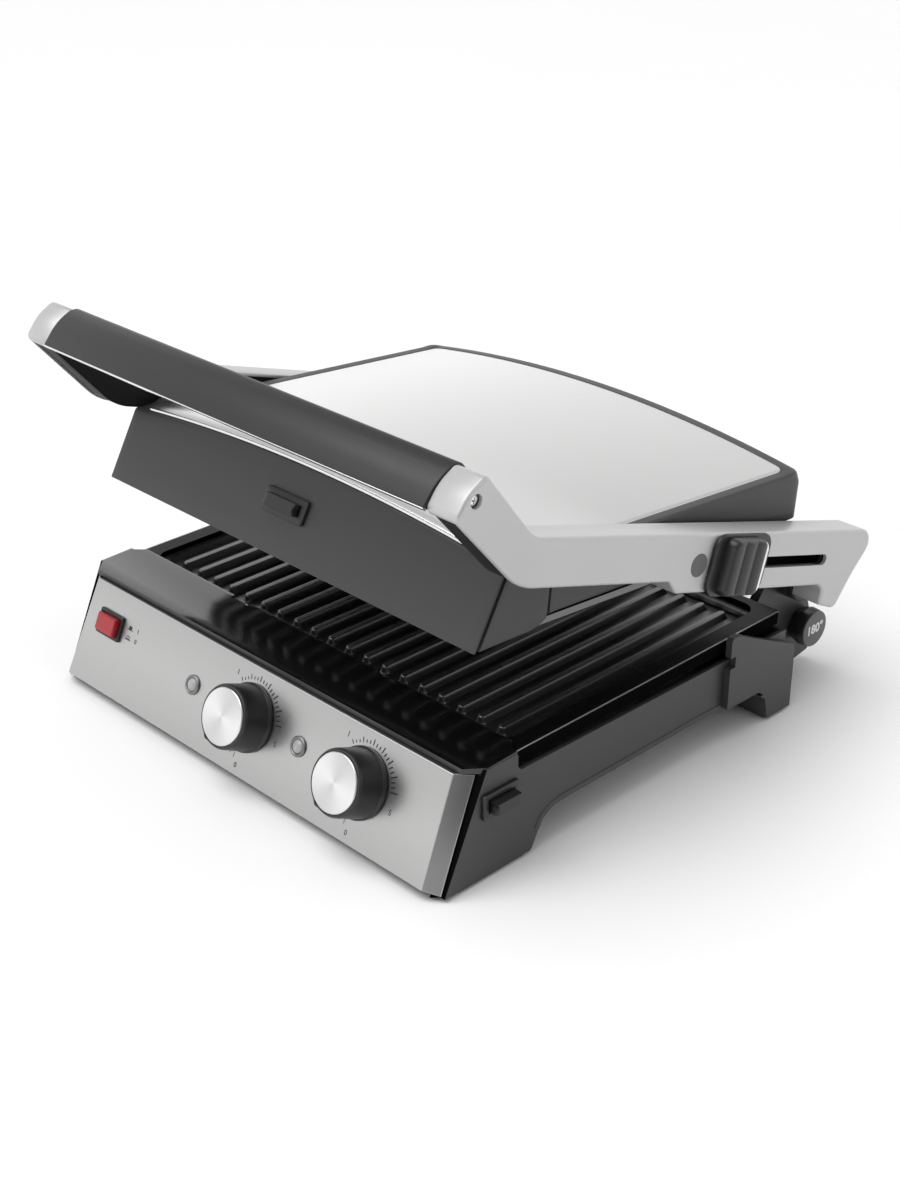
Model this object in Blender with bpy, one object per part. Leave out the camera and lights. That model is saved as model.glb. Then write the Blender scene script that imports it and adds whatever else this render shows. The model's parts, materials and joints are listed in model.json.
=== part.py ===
"""Panini press: a contact grill with a floating lid on two side arms.

The outline numbers are millimetres; new_object turns them into Blender's metres.
X runs across the press, Y from front to back, Z up from the table.
"""
import math

import bmesh
import bpy
from mathutils import Matrix, Vector

MM = 0.001
GAP = 0.3                     # between touching pieces

# ---- driving dimensions, mm and degrees ------------------------------------
ORIGIN_X, ORIGIN_Y = 4.8, -7.35   # middle of the footprint box in the drawing's own axes
PANEL_LEAN = 24.5             # control panel from the vertical
PANEL_FOOT = (-175.2, 7.8)    # y, z of the panel's lower edge
PANEL_TALL = 60.5
PANEL_HALF_LOW, PANEL_HALF_HIGH = 154.9, 151.8
SHEET = 1.2                   # steel sheet
KNOB_X = (4.0, 96.0)
LAMP_X = (-46.5, 46.0)
CONTROL_UP = 32.0             # height of knobs and lamps up the panel
SWITCH_AT = (-129.0, 38.8)    # middle of the power switch on the panel
BODY_HALF = 165.0             # base tub, half width
WALL = 2.6
BASE_BACK = 108.0
RIB_TOP = 61.2                # lower plate's ribs
RIB_COUNT, RIB_PITCH, RIB_TALL = 19, 15.0, 4.2
PLATE_FRONT, PLATE_BACK = -110.0, 98.0
LOWER_HALF, UPPER_HALF = 150.0, 143.0
HINGE = (144.5, 71.0)         # y, z of the main hinge
ARM_TILT = 17.34              # arms above their closed position
LID_TILT = 4.8                # lid above its closed position
ARM_IN, ARM_OUT = 153.5, 173.5
ARM_WEB = 3.0
LID_PIVOT = (-146.3, 17.0)    # y, z from the hinge, arms level
LID_HALF = 151.5
COVER_HALF = 143.6
COVER_EDGE, COVER_CROWN = 20.5, 11.3
SLOT = (-120.0, -21.5, 16.9, 3.3)   # slot from, to, height, half width
SLIDER_Y = -112.0
HANDLE_SCREW = (-331.6, 52.6) # y, z from the hinge, arms level
GRIP_HALF = 157.4
KNUCKLE_R, SHAFT_R = 17.0, 4.7
RELEASE_AT = (156.5, 30.0)    # y, z of the flat-opening release knob
SIDE_BUTTON = (-130.0, 45.0)  # y, z of the lower plate's release button
LID_BUTTON = (-5.0, 27.0)     # x, distance up the lid's front face
LID_FACE_LOW, LID_FACE_HIGH = (-143.9, -17.4), (-124.2, 25.6)   # y, z from the lid's pivot, lid level


# ---- helpers ----------------------------------------------------------------
def clear_scene():
    for item in list(bpy.data.objects):
        bpy.data.objects.remove(item, do_unlink=True)


def finish(name, colour, roughness, metallic=0.0):
    """A Principled material."""
    made = bpy.data.materials.new(name)
    made.use_nodes = True
    shader = made.node_tree.nodes["Principled BSDF"]
    shader.inputs["Base Color"].default_value = (*colour, 1.0)
    shader.inputs["Roughness"].default_value = roughness
    shader.inputs["Metallic"].default_value = metallic
    return made


def frame(name, at, turn_x=0.0, parent=None):
    """An empty that holds an assembly's own axes."""
    empty = bpy.data.objects.new(name, None)
    bpy.context.collection.objects.link(empty)
    empty.parent = parent
    empty.location = Vector(at) * MM
    empty.rotation_euler = (math.radians(turn_x), 0.0, 0.0)
    return empty


def new_object(name, shape, material, parent):
    """Put a bmesh drawn in mm into a named object under its frame."""
    bmesh.ops.recalc_face_normals(shape, faces=shape.faces)
    bmesh.ops.scale(shape, vec=(MM, MM, MM), verts=shape.verts)
    mesh = bpy.data.meshes.new(name)
    shape.to_mesh(mesh)
    shape.free()
    if material:
        mesh.materials.append(material)
        mesh.shade_smooth()
        mesh.set_sharp_from_angle(angle=math.radians(35))
    made = bpy.data.objects.new(name, mesh)
    bpy.context.collection.objects.link(made)
    made.parent = parent
    return made


def boolean(target, operation, shapes, axes):
    """Cut or join drawn shapes into an object, each through its own hidden tool in the given axes."""
    for shape in shapes:
        tool = new_object(f"tool_{target.name}_{len(target.modifiers)}", shape, None, axes or target.parent)
        tool.hide_render = True
        tool.display_type = "WIRE"
        step = target.modifiers.new(operation.title(), "BOOLEAN")
        step.operation = operation
        step.solver = "EXACT"
        step.object = tool
    return target


def cut(target, *shapes, axes=None):
    return boolean(target, "DIFFERENCE", shapes, axes)


def join(target, *shapes, axes=None):
    return boolean(target, "UNION", shapes, axes)


def together(shapes):
    """Several drawn shapes as one, still apart from each other."""
    whole = bmesh.new()
    for shape in shapes:
        mesh = bpy.data.meshes.new("shape")
        shape.to_mesh(mesh)
        shape.free()
        whole.from_mesh(mesh)
        bpy.data.meshes.remove(mesh)
    return whole


def loft(loops):
    """A closed skin through rings of equally many points, capped at both ends."""
    shape = bmesh.new()
    rings = [[shape.verts.new(point) for point in loop] for loop in loops]
    for low, high in zip(rings, rings[1:]):
        for i in range(len(low)):
            j = (i + 1) % len(low)
            shape.faces.new((low[i], low[j], high[j], high[i]))
    shape.faces.new(rings[0][::-1])
    shape.faces.new(rings[-1])
    return shape


def prism_x(outline, x0, x1):
    """A (y, z) outline extruded across the press."""
    return loft([[(x, y, z) for y, z in outline] for x in (x0, x1)])


def prism_y(outline, y0, y1):
    return loft([[(x, y, z) for x, z in outline] for y in (y0, y1)])


def prism_z(outline, z0, z1):
    return loft([[(x, y, z) for x, y in outline] for z in (z0, z1)])


def box(x0, x1, y0, y1, z0, z1):
    return prism_z([(x0, y0), (x1, y0), (x1, y1), (x0, y1)], z0, z1)


def turned(profile, axis, centre, sides=24):
    """A closed (radius, along) ring profile, or one from pole to pole, turned about an axis."""
    shape = bmesh.new()
    rings = []
    for radius, along in profile:
        if radius == 0:
            rings.append([shape.verts.new((0, 0, along))])
            continue
        rings.append([shape.verts.new((radius * math.cos(a), radius * math.sin(a), along))
                      for a in (2 * math.pi * k / sides for k in range(sides))])
    hollow = profile[0][0] > 0
    pairs = list(zip(rings, rings[1:])) + ([(rings[-1], rings[0])] if hollow else [])
    for low, high in pairs:
        for k in range(sides):
            m = (k + 1) % sides
            corners = [low[k % len(low)], low[m % len(low)], high[m % len(high)], high[k % len(high)]]
            shape.faces.new(list(dict.fromkeys(corners)))
    turn = {"x": Matrix.Rotation(math.pi / 2, 4, "Y"), "z": Matrix.Identity(4),
            "y": Matrix.Rotation(-math.pi / 2, 4, "X")}[axis]
    bmesh.ops.transform(shape, matrix=Matrix.Translation(centre) @ turn, verts=shape.verts)
    return shape


def rod(radius, start, end, axis, centre, sides=24):
    return turned([(0, start), (radius, start), (radius, end), (0, end)], axis, centre, sides)


def collar(inner, outer, start, end, axis, centre, sides=24):
    return turned([(inner, start), (outer, start), (outer, end), (inner, end)], axis, centre, sides)


def counterbore(hole, mouth, shoulder, sign, centre):
    """Cutter for a stepped hole through a side wall, its wide mouth on the outside."""
    profile = [(0, 140.0), (hole, 140.0), (hole, shoulder), (mouth, shoulder), (mouth, 182.0), (0, 182.0)]
    return turned([(radius, sign * along) for radius, along in profile], "x", centre, 20)


def rounded(corners, steps=4):
    """An outline from (a, b, radius) corners, each rounded by an arc."""
    outline = []
    count = len(corners)
    for i, (a, b, radius) in enumerate(corners):
        here = Vector((a, b))
        if radius == 0:
            outline.append((a, b))
            continue
        back = (Vector(corners[i - 1][:2]) - here).normalized()
        ahead = (Vector(corners[(i + 1) % count][:2]) - here).normalized()
        half = back.angle(ahead) / 2
        middle = here + (back + ahead).normalized() * (radius / math.sin(half))
        start = here + back * (radius / math.tan(half)) - middle
        end = here + ahead * (radius / math.tan(half)) - middle
        sweep = start.angle_signed(end)
        for k in range(steps + 1):
            turn = -sweep * k / steps
            outline.append((middle.x + start.x * math.cos(turn) - start.y * math.sin(turn),
                            middle.y + start.x * math.sin(turn) + start.y * math.cos(turn)))
    return outline


def rounded_box(a0, a1, b0, b1, radius, steps=4):
    return rounded([(a0, b0, radius), (a1, b0, radius), (a1, b1, radius), (a0, b1, radius)], steps)


def inset(corners, distance):
    """Move each edge of an (a, b, radius) corner list inwards and meet the edges again."""
    points = [Vector(corner[:2]) for corner in corners]
    count = len(points)
    area = sum(points[i - 1].cross(points[i]) for i in range(count))
    turn = 1.0 if area > 0 else -1.0
    moved = []
    for i in range(count):
        before = (points[i] - points[i - 1]).normalized()
        after = (points[(i + 1) % count] - points[i]).normalized()
        inward = Vector((-after.y, after.x)) * turn
        bisector = (inward + Vector((-before.y, before.x)) * turn).normalized()
        outer_corner = before.cross(after) * turn > 0
        radius = corners[i][2] - distance if outer_corner else corners[i][2] + distance
        moved.append((*(points[i] + bisector * (distance / bisector.dot(inward))), max(radius, 0.8)))
    return moved


def mirrored(sides=("left", "right")):
    """The two sides of the press with their sign along X."""
    return zip(sides, (-1, 1))


def across(sign, x0, x1):
    """An x span given on the right, put on either side, low end first."""
    return tuple(sorted((sign * x0, sign * x1)))


def heater_loop(name, parent, height, material):
    """A tubular element bent into a loop in one plane, open at the front."""
    reach, front, back, bend = 118.0, -82.0, 70.0, 14.0
    path = rounded([(20.0, front, 0.0), (reach, front, bend), (reach, back, bend),
                    (-reach, back, bend), (-reach, front, bend), (-20.0, front, 0.0)], 5)
    curve = bpy.data.curves.new(name, "CURVE")
    curve.dimensions = "3D"
    curve.bevel_depth = 3.2 * MM
    curve.bevel_resolution = 1
    curve.render_resolution_u = 0
    curve.use_fill_caps = True
    spline = curve.splines.new("POLY")
    spline.points.add(len(path) - 1)
    for point, (x, y) in zip(spline.points, path):
        point.co = (x * MM, y * MM, height * MM, 1.0)
    curve.materials.append(material)
    made = bpy.data.objects.new(name, curve)
    bpy.context.collection.objects.link(made)
    made.parent = parent
    return made


def ribbed_plate(name, half, front, back, face, rib, sign, parent, material, rim):
    """A cast plate: a slab with tapered ribs on one face, and a rim where asked.

    face is the slab's working face and rib the ribs' crest; sign is +1 for ribs that point up.
    """
    slab = face - sign * 4.5
    low, high = sorted((slab, face))
    plate = new_object(name, prism_z(rounded_box(-half, half, front, back, 9.0), low, high), material, parent)
    if rim:
        edge = rounded_box(-half + 0.05, half - 0.05, front + 0.05, back - 0.05, 9.0)
        outer = prism_z(edge, face - 1.0, rim)
        trough = prism_z(rounded_box(3.0 - half, half - 3.0, front + 3.0, back - 3.0, 7.0), face, rim + 9.0)
        join(plate, outer)
        cut(plate, trough)
    root = face - sign * 0.5
    ribs = []
    for k in range(RIB_COUNT):
        x = (k - (RIB_COUNT - 1) / 2) * RIB_PITCH
        section = [(x - 3.2, root), (x + 3.2, root), (x + 1.9, rib), (x - 1.9, rib)]
        ribs.append(prism_y(section, front + 9.5, back - 9.5))
    return join(plate, together(ribs))


def pan(name, half, front, back, low, high, parent, material, opens_up):
    """A thin tray; its open side faces up or down."""
    tray = new_object(name, box(-half, half, front, back, low, high), material, parent)
    lift = 1.0 if opens_up else -1.0
    inside = box(1 - half, half - 1, front + 1, back - 1, low + lift, high + lift)
    return cut(tray, inside)


# ---- base -------------------------------------------------------------------
def panel_y(z, inward=0.0):
    """Y of a plane parallel to the panel, a distance behind its face."""
    lean = math.radians(PANEL_LEAN)
    return PANEL_FOOT[0] + (z - PANEL_FOOT[1]) * math.tan(lean) + inward / math.cos(lean)


def base_tub(satin):
    """The open tub with its side cheeks, front feet and the sloping front wall."""
    side = [(-190, 2), (-106.5, 2), (-104.8, 3.5), (-97.4, 18.1), (-91, 21.6), (-84.3, 22.8),
            (BASE_BACK, 23), (BASE_BACK, 52.7), (-114, 55.5), (-116.5, 58), (-116.5, 64.8), (-118, 66),
            (-190, 66)]
    tub = new_object("base_tub", prism_x(side, -BODY_HALF, BODY_HALF), satin, ROOT)
    inner = BODY_HALF - WALL
    cut(tub, box(-inner, inner, -118.0, BASE_BACK - WALL, 20.0, 80.0))
    bay = [(panel_y(-6, 3.7), -6), (-84.9, -6), (-84.9, 26), (-117, 26), (-117, 80), (panel_y(80, 15.7), 80),
           (panel_y(11, 15.7), 11), (panel_y(11, 3.7), 11)]
    cut(tub, prism_x(bay, -148.0, 148.0))
    nose = [(panel_y(-5, 3.7), -5), (panel_y(-5, 17), -5), (panel_y(80, 17), 80), (panel_y(80, 3.7), 80)]
    cut(tub, prism_x(nose, -146.0, 146.0))
    cut(tub, box(-158.0, 158.0, -195.0, -163.0, -5.0, 8.3))
    cut(tub, box(-162.0, 162.0, -160.0, -105.0, 62.4, 80.0))
    cut(tub, front_clearance(), panel_holes(8.0, 1.5), axes=PANEL)
    y, z = SIDE_BUTTON
    cut(tub, box(140.0, 170.0, y - 11.0, y + 11.0, z - 5.0, z + 5.0))
    return tub


def front_clearance():
    """Everything in front of the sheet panel's back, drawn in the panel's axes."""
    loops = []
    for up, back in ((-30.0, -16.5), (100.0, -9.0)):
        half = PANEL_HALF_LOW + (PANEL_HALF_HIGH - PANEL_HALF_LOW) * up / PANEL_TALL
        loops.append([(-172, up, back), (-half - 6.8, up, -8.5), (0.6 - half, up, -SHEET - GAP),
                      (half - 0.6, up, -SHEET - GAP), (half + 6.8, up, -8.5), (172, up, back),
                      (172, up, 70), (-172, up, 70)])
    shape = loft(loops)
    bmesh.ops.triangulate(shape, faces=shape.faces)
    return shape


def panel_holes(radius, margin):
    """Holes for the shafts, the lamps and the switch, which has a margin round it, in the panel's axes."""
    shapes = [rod(radius, -12.0, 6.0, "z", (x, CONTROL_UP, 0), 16) for x in KNOB_X + LAMP_X]
    x, up = SWITCH_AT
    wide, tall = 10.2 + margin, 6.9 + margin
    shapes.append(box(x - wide, x + wide, up - tall, up + tall, -12.0, 6.0))
    return together(shapes)


def control_panel(steel):
    """Bent sheet: flat face with an end flap turned back at each side."""
    loops = []
    for up, half in ((0.0, PANEL_HALF_LOW), (PANEL_TALL, PANEL_HALF_HIGH)):
        loops.append([(-half - 7.07, up, -7.07), (-half, up, 0), (half, up, 0), (half + 7.07, up, -7.07),
                      (half + 6.22, up, -7.92), (half - 0.5, up, -SHEET), (0.5 - half, up, -SHEET),
                      (-half - 6.22, up, -7.92)])
    panel = new_object("control_panel", loft(loops), steel, PANEL)
    return cut(panel, panel_holes(4.2, 0.0))


def top_frame(gloss):
    """Glossy ring round the plate; its front bar is the apron above the panel."""
    section = [(-108.9, 57.0), (-111.4, 57.0), (-111.4, 62.0), (-146.0, 62.8), (-147.6, 64.2),
               (-147.6, 66.6), (-140.0, 67.8), (-116.0, 66.6), (-110.5, 64.2), (-110.5, 63.4)]
    front, inner = -147.6, LOWER_HALF + 0.5
    plan = [(-152, front), (152, front), (161.6, -137.2), (161.6, BASE_BACK - 3), (-161.6, BASE_BACK - 3),
            (-161.6, -137.2)]
    ring = new_object("top_frame", prism_z(plan, 56.5, 67.5), gloss, ROOT)
    cut(ring, prism_z(rounded_box(-inner, inner, PLATE_FRONT - 0.5, PLATE_BACK + 0.5, 9.5), 50.0, 80.0))
    slope = [(-111.0, 65.2), (-112.5, 80.0), (120.0, 80.0), (120.0, 64.6), (-111.0, 64.6)]
    cut(ring, prism_x(slope, -170.0, 170.0))
    under = [(-160.0, 50.0), (-117.6, 50.0), (-117.6, 62.9), (-160.0, 62.9)]
    cut(ring, prism_x(under, -170.0, 170.0))
    return ring


def bottom_cover(satin):
    """Stepped plate that closes the tub, with vent slots."""
    step = [(panel_y(8.2, 4.3), 8.4), (-99.0, 8.4), (-95.0, 20.2), (-84.7, 20.2), (-84.7, 22.2),
            (-97.0, 22.2), (-101.0, 10.4), (panel_y(10.2, 4.3), 10.4)]
    cover = new_object("bottom_cover", prism_x(step, -147.6, 147.6), satin, ROOT)
    inner = BODY_HALF - WALL - GAP
    join(cover, box(-inner, inner, -84.4, BASE_BACK - WALL - GAP, 20.2, 22.2))
    join(cover, box(-147.6, 147.6, -85.0, -84.0, 20.2, 22.2))
    return cut(cover, together([box(x - 2, x + 2, -40, 10, 15, 25) for x in range(-72, 73, 24)]))


def rear_brackets(satin, rubber):
    """Outer brackets behind the side walls; each ends in a rear foot."""
    out = BODY_HALF + 4.5
    side = [(50.5, 24), (50.5, 50), (55, 50), (55, 57), (50.5, 57), (50.5, 67.5), (52, 69.2), (57, 69.2),
            (110.5, 43.7), (111.9, 40), (111.9, 2), (90.1, 2), (86, 19), (80, 23.4)]
    for name, sign in mirrored():
        plate = prism_x(side, *across(sign, BODY_HALF + GAP, out))
        bracket = new_object(f"rear_bracket_{name}", plate, satin, ROOT)
        foot = [(111.9, 2), (90.1, 2), (87, 16), (82, 19.9), (111.9, 19.9)]
        join(bracket, prism_x(foot, *across(sign, 140.3, out - 0.01)))
        back = [(108.3, 2), (111.9, 2), (111.9, 42), (108.3, 42)]
        join(bracket, prism_x(back, *across(sign, 140.3, out - 0.02)))
        pad_span = across(sign, 142.0, 167.0)
        new_object(f"foot_pad_rear_{name}", box(*pad_span, 92.0, 110.0, 0.0, 1.7), rubber, ROOT)
        pad_span = across(sign, 150.0, 163.5)
        new_object(f"foot_pad_front_{name}", box(*pad_span, -158.0, -110.0, 0.0, 1.7), rubber, ROOT)


def hinge_supports(satin):
    """Upright cheeks behind the base that carry the hinge shaft and the release knob."""
    y, z = HINGE
    for name, sign in mirrored():
        outline = rounded([(108.4, 8, 1), (108.4, 54, 3), (y - 17, z + 6, 8), (y - 6, z + 15, 8),
                           (y + 10, z + 13, 8), (y + 16, z - 4, 9), (y + 18, z - 22, 8), (168, 34, 8),
                           (167, 18, 4), (170.5, 7, 2), (150, 3.5, 2)], 3)
        plate = prism_x(outline, *across(sign, 134.0, 140.0))
        cheek = new_object(f"hinge_support_{name}", plate, satin, ROOT)
        cut(cheek, rod(SHAFT_R + 0.4, -8, 8, "x", (sign * 137, y, z)))
        if sign > 0:
            cut(cheek, rod(4.4, -8, 8, "x", (137, *RELEASE_AT), 16))


def rear_cover(satin, black):
    """Housing across the back between the hinge supports, with the cord's gland."""
    shell = [(108.4, 50), (130, 49), (146, 38), (149, 30), (149, 9), (145, 6), (108.4, 6),
             (108.4, 8.2), (144, 8.2), (146.8, 10.5), (146.8, 29.5), (144.3, 36.5), (129.3, 46.8),
             (108.4, 47.8)]
    cover = new_object("rear_cover", prism_x(shell, -133.6, 133.6), satin, ROOT)
    cut(cover, rod(6.4, -6, 6, "y", (70, 148, 22), 20))
    profile = [(3.6, 142), (6.0, 142), (6.0, 149.3), (9.5, 149.3), (9.5, 151.5), (6.6, 153.5), (5.6, 160),
               (3.6, 160)]
    new_object("cord_gland", turned(profile, "y", (70, 0, 22), 20), black, ROOT)


def lower_works(cast, steel, ceramic, bright):
    """Lower plate, element, reflector, terminal block."""
    ribbed_plate("lower_plate", LOWER_HALF, PLATE_FRONT, PLATE_BACK, RIB_TOP - RIB_TALL, RIB_TOP, 1, ROOT,
                 cast, RIB_TOP + 1.6)
    heater_loop("lower_heater", ROOT, RIB_TOP - 12.3, steel)
    pan("lower_reflector", 140.0, -103.0, 92.0, 30.0, 44.0, ROOT, bright, True)
    block = new_object("terminal_block", box(40, 100, 114, 128, 12, 24), ceramic, ROOT)
    cut(block, box(50, 60, 112, 119, 14, 22), box(65, 75, 112, 119, 14, 22), box(80, 90, 112, 119, 14, 22))


def knobs(black, silver, steel, ceramic):
    """Two thermostats with their knobs; each knob turns about its shaft."""
    for (name, _), x in zip(mirrored(), KNOB_X):
        axis = frame(f"knob_axis_{name}", (x, CONTROL_UP, 0), 0, PANEL)
        skirt = [(3.3, 0.9), (19.2, 0.9), (19.2, 2.8), (18.3, 3.6), (18.0, 18.4), (17.2, 19.4), (3.3, 19.4)]
        new_object(f"thermostat_knob_{name}", turned(skirt, "z", (0, 0, 0), 36), black, axis)
        new_object(f"knob_cap_{name}", rod(16.6, 19.7, 20.6, "z", (0, 0, 0), 36), silver, axis)
        new_object(f"thermostat_shaft_{name}", rod(3.0, -20.0, 19.3, "z", (0, 0, 0), 16), steel, axis)
        body = [(0, -21.0), (3.5, -21.0), (3.5, -4.5), (6.0, -4.5), (6.0, -12.0), (14.0, -12.0),
                (14.0, -30.0), (0, -30.0)]
        new_object(f"thermostat_{name}", turned(body, "z", (x, CONTROL_UP, 0), 20), ceramic, PANEL)


def lamps(clear, bright):
    for (name, _), x in zip(mirrored(), LAMP_X):
        dome = [(0, -8), (2.9, -8), (2.9, 0.5), (2.4, 1.5), (1.2, 2.1), (0, 2.3)]
        new_object(f"lamp_lens_{name}", turned(dome, "z", (x, CONTROL_UP, 0), 20), clear, PANEL)
        ring = [(3.2, -3), (3.9, -3), (3.9, 0.3), (5.0, 0.3), (4.8, 1.3), (3.2, 1.3)]
        new_object(f"lamp_ring_{name}", turned(ring, "z", (x, CONTROL_UP, 0), 20), bright, PANEL)


def power_switch(black, red):
    """Bezel and housing on the panel; the cap slides in along the panel's normal."""
    x, up = SWITCH_AT
    bezel = new_object("switch_housing", box(x - 11, x + 11, up - 7.8, up + 7.8, 0.3, 1.8), black, PANEL)
    join(bezel, box(x - 9.9, x + 9.9, up - 6.6, up + 6.6, -18.0, 1.0))
    cut(bezel, box(x - 9.0, x + 9.0, up - 5.8, up + 5.8, -16.5, 6.0))
    slide = frame("switch_axis", (x, up, 0), 0, PANEL)
    new_object("power_button", box(-8.7, 8.7, -5.5, 5.5, -12.0, 5.2), red, slide)


def side_button(black, satin):
    """Lower plate's release button in its bezel on the right cheek."""
    y, z = SIDE_BUTTON
    flange = box(BODY_HALF + GAP, BODY_HALF + 2.0, y - 13, y + 13, z - 7.5, z + 7.5)
    bezel = new_object("side_button_bezel", flange, satin, ROOT)
    join(bezel, box(158.0, BODY_HALF + 1.0, y - 10.7, y + 10.7, z - 4.7, z + 4.7))
    cut(bezel, box(150.0, 180.0, y - 9.2, y + 9.2, z - 3.6, z + 3.6))
    slide = frame("side_button_axis", (BODY_HALF, y, z), 0, ROOT)
    new_object("side_button", box(-14.0, 6.0, -8.9, 8.9, -3.3, 3.3), black, slide)


def release_knob(black, satin):
    """Knob that frees the hinge for flat opening."""
    axis = frame("release_axis", (140.3, *RELEASE_AT), 0, ROOT)
    knob = new_object("release_knob", rod(10.6, 0.3, 11.2, "x", (0, 0, 0), 24), black, axis)
    join(knob, rod(4.0, -9.0, 2.0, "x", (0, 0, 0), 16))
    new_object("release_knob_cap", rod(10.9, 11.5, 12.4, "x", (0, 0, 0), 24), satin, axis)


# ---- hinge and arms ---------------------------------------------------------
def hinge(steel, black):
    """Shaft and knuckles that turn with the whole upper half."""
    y, z = HINGE
    new_object("hinge_shaft", rod(SHAFT_R, -168.0, 168.0, "x", (0, 0, 0), 20), steel, OPEN)
    for name, sign in mirrored():
        low, high = across(sign, 140.3, 152.9)
        new_object(f"hinge_knuckle_{name}", collar(SHAFT_R + 0.3, KNUCKLE_R, low, high, "x", (0, 0, 0), 28),
                   black, OPEN)


def arm_outline(depth=0.0):
    """Side view of an arm, level, measured from the hinge; depth shrinks it all round."""
    corners = [(-328.1, 65.4, 4), (-283.9, 34.4, 16), (28.5, 34.3, 9), (12.0, 6.8, 30), (2.5, -14.4, 5),
               (-14.5, -11.4, 2), (-16.5, 1.1, 8), (-159.8, 1.2, 4), (-168.0, 8.0, 4), (-287, 8.8, 24),
               (-342.3, 43.2, 4)]
    return rounded(inset(corners, depth) if depth else corners, 3)


def arms(silver, dark, bright):
    """Two castings, open on their inner side, each with a cover and the handle's screw."""
    outline = arm_outline()
    pocket = arm_outline(ARM_WEB)
    liner = arm_outline(ARM_WEB + GAP)
    py, pz = LID_PIVOT
    for name, sign in mirrored():
        arm = new_object(f"arm_{name}", prism_x(outline, *across(sign, ARM_IN, ARM_OUT)), silver, ARMS)
        cut(arm, prism_x(pocket, *across(sign, 100.0, ARM_OUT - ARM_WEB)))
        join(arm, end_block(sign))
        join(arm, rod(9.5, *across(sign, 156.9, 171.0), "x", (0, 0, 0)))
        join(arm, rod(9.5, *across(sign, 156.9, 171.0), "x", (0, py, pz)))
        cut(arm, rod(SHAFT_R + 0.4, *across(sign, 140.0, 169.0), "x", (0, 0, 0)))
        cut(arm, counterbore(SHAFT_R + 0.4, 7.0, 171.6, sign, (0, py, pz)))
        cut(arm, counterbore(2.5, 4.6, 171.0, sign, (0, *HANDLE_SCREW)))
        if sign > 0:
            start, end, height, half = SLOT
            cut(arm, prism_x(rounded_box(start, end, height - half, height + half, 3.2), 165, 180))
        cover = new_object(f"arm_inner_cover_{name}", prism_x(liner, *across(sign, 154.2, 156.4)), dark, ARMS)
        cut(cover, rod(10.2, *across(sign, 140.0, 160.0), "x", (0, 0, 0)))
        cut(cover, rod(10.2, *across(sign, 140.0, 160.0), "x", (0, py, pz)))
        cut(cover, prism_x([(-360, 20), (-322, 20), (-300, 62), (-340, 90)], *across(sign, 140.0, 160.0)))
        disc = rod(4.0, *across(sign, 171.3, 173.0), "x", (0, *HANDLE_SCREW), 16)
        head = new_object(f"handle_screw_{name}", disc, bright, ARMS)
        join(head, rod(2.0, *across(sign, 145.0, 172.0), "x", (0, *HANDLE_SCREW), 12))


def end_block(sign):
    """Solid core at an arm's front end, which the grip's screw goes through."""
    core = [(-338.8, 44.5), (-320.0, 32.5), (-306.0, 46.0), (-328.0, 61.5)]
    return prism_x(core, *across(sign, GRIP_HALF, ARM_OUT - 1.0))


def handle(black, steel):
    """Grip bar between the arms' front ends, over a steel rod."""
    u = Vector((-0.823, 0.568))
    v = Vector((0.568, 0.823))
    middle = Vector((-334.9, 54.2))
    section = [(1.0, -12.5), (1.4, 3.0), (1.2, 11.0), (-1.0, 14.2), (-5.0, 15.4), (-10.0, 14.4),
               (-14.0, 10.5), (-15.5, 3.0), (-13.0, -7.0), (-5.5, -13.0), (-1.0, -13.8)]
    outline = [tuple(middle + u * a + v * b) for a, b in section]
    half = ARM_IN - GAP
    grip = new_object("handle_grip", prism_x(outline, -half, half), black, ARMS)
    hollow = tuple(middle + u * -8.0 + v * -5.0)
    cut(grip, rod(4.3, -170, 170, "x", (0, *hollow), 16))
    cut(grip, rod(2.4, -170, 170, "x", (0, *HANDLE_SCREW), 12))
    new_object("handle_rod", rod(4.0, -half, half, "x", (0, *hollow), 16), steel, ARMS)


def height_slider(black, bright):
    """Ribbed slider on the right arm; its pin runs in the slot."""
    axis = frame("slider_axis", (ARM_OUT, SLIDER_Y, SLOT[2]), 0, ARMS)
    plate = new_object("height_slider", prism_x(rounded_box(-26, 26, -17.4, 17.8, 6), 0.4, 2.6), black, axis)
    join(plate, prism_x(rounded_box(-16, 10, -15.5, 15.5, 4), 2.0, 10.0))
    join(plate, prism_x(rounded_box(-5, 5, -2.8, 2.8, 2), -8.0, 1.0))
    new_object("slider_trim", prism_x(rounded_box(10.4, 12.6, -13.5, 13.5, 1), 3.0, 9.4), bright, axis)
    start, end, height, half = SLOT
    track = new_object("slider_track", prism_x(rounded_box(start - 4, end + 4, height - 6.5, height + 6.5, 3),
                                               168.4, 170.2), black, ARMS)
    cut(track, prism_x(rounded_box(start + 1, end - 1, height - 3.1, height + 3.1, 2.9), 160, 180))


# ---- lid --------------------------------------------------------------------
def crown(x, drop=0.0):
    """Height of the arched lid cover above the pivot at x."""
    return COVER_EDGE + COVER_CROWN * (1.0 - (x / COVER_HALF) ** 2) - drop


def arch(half, drop, steps=16):
    return [(half * (2 * k / steps - 1), crown(half * (2 * k / steps - 1), drop)) for k in range(steps + 1)]


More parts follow.
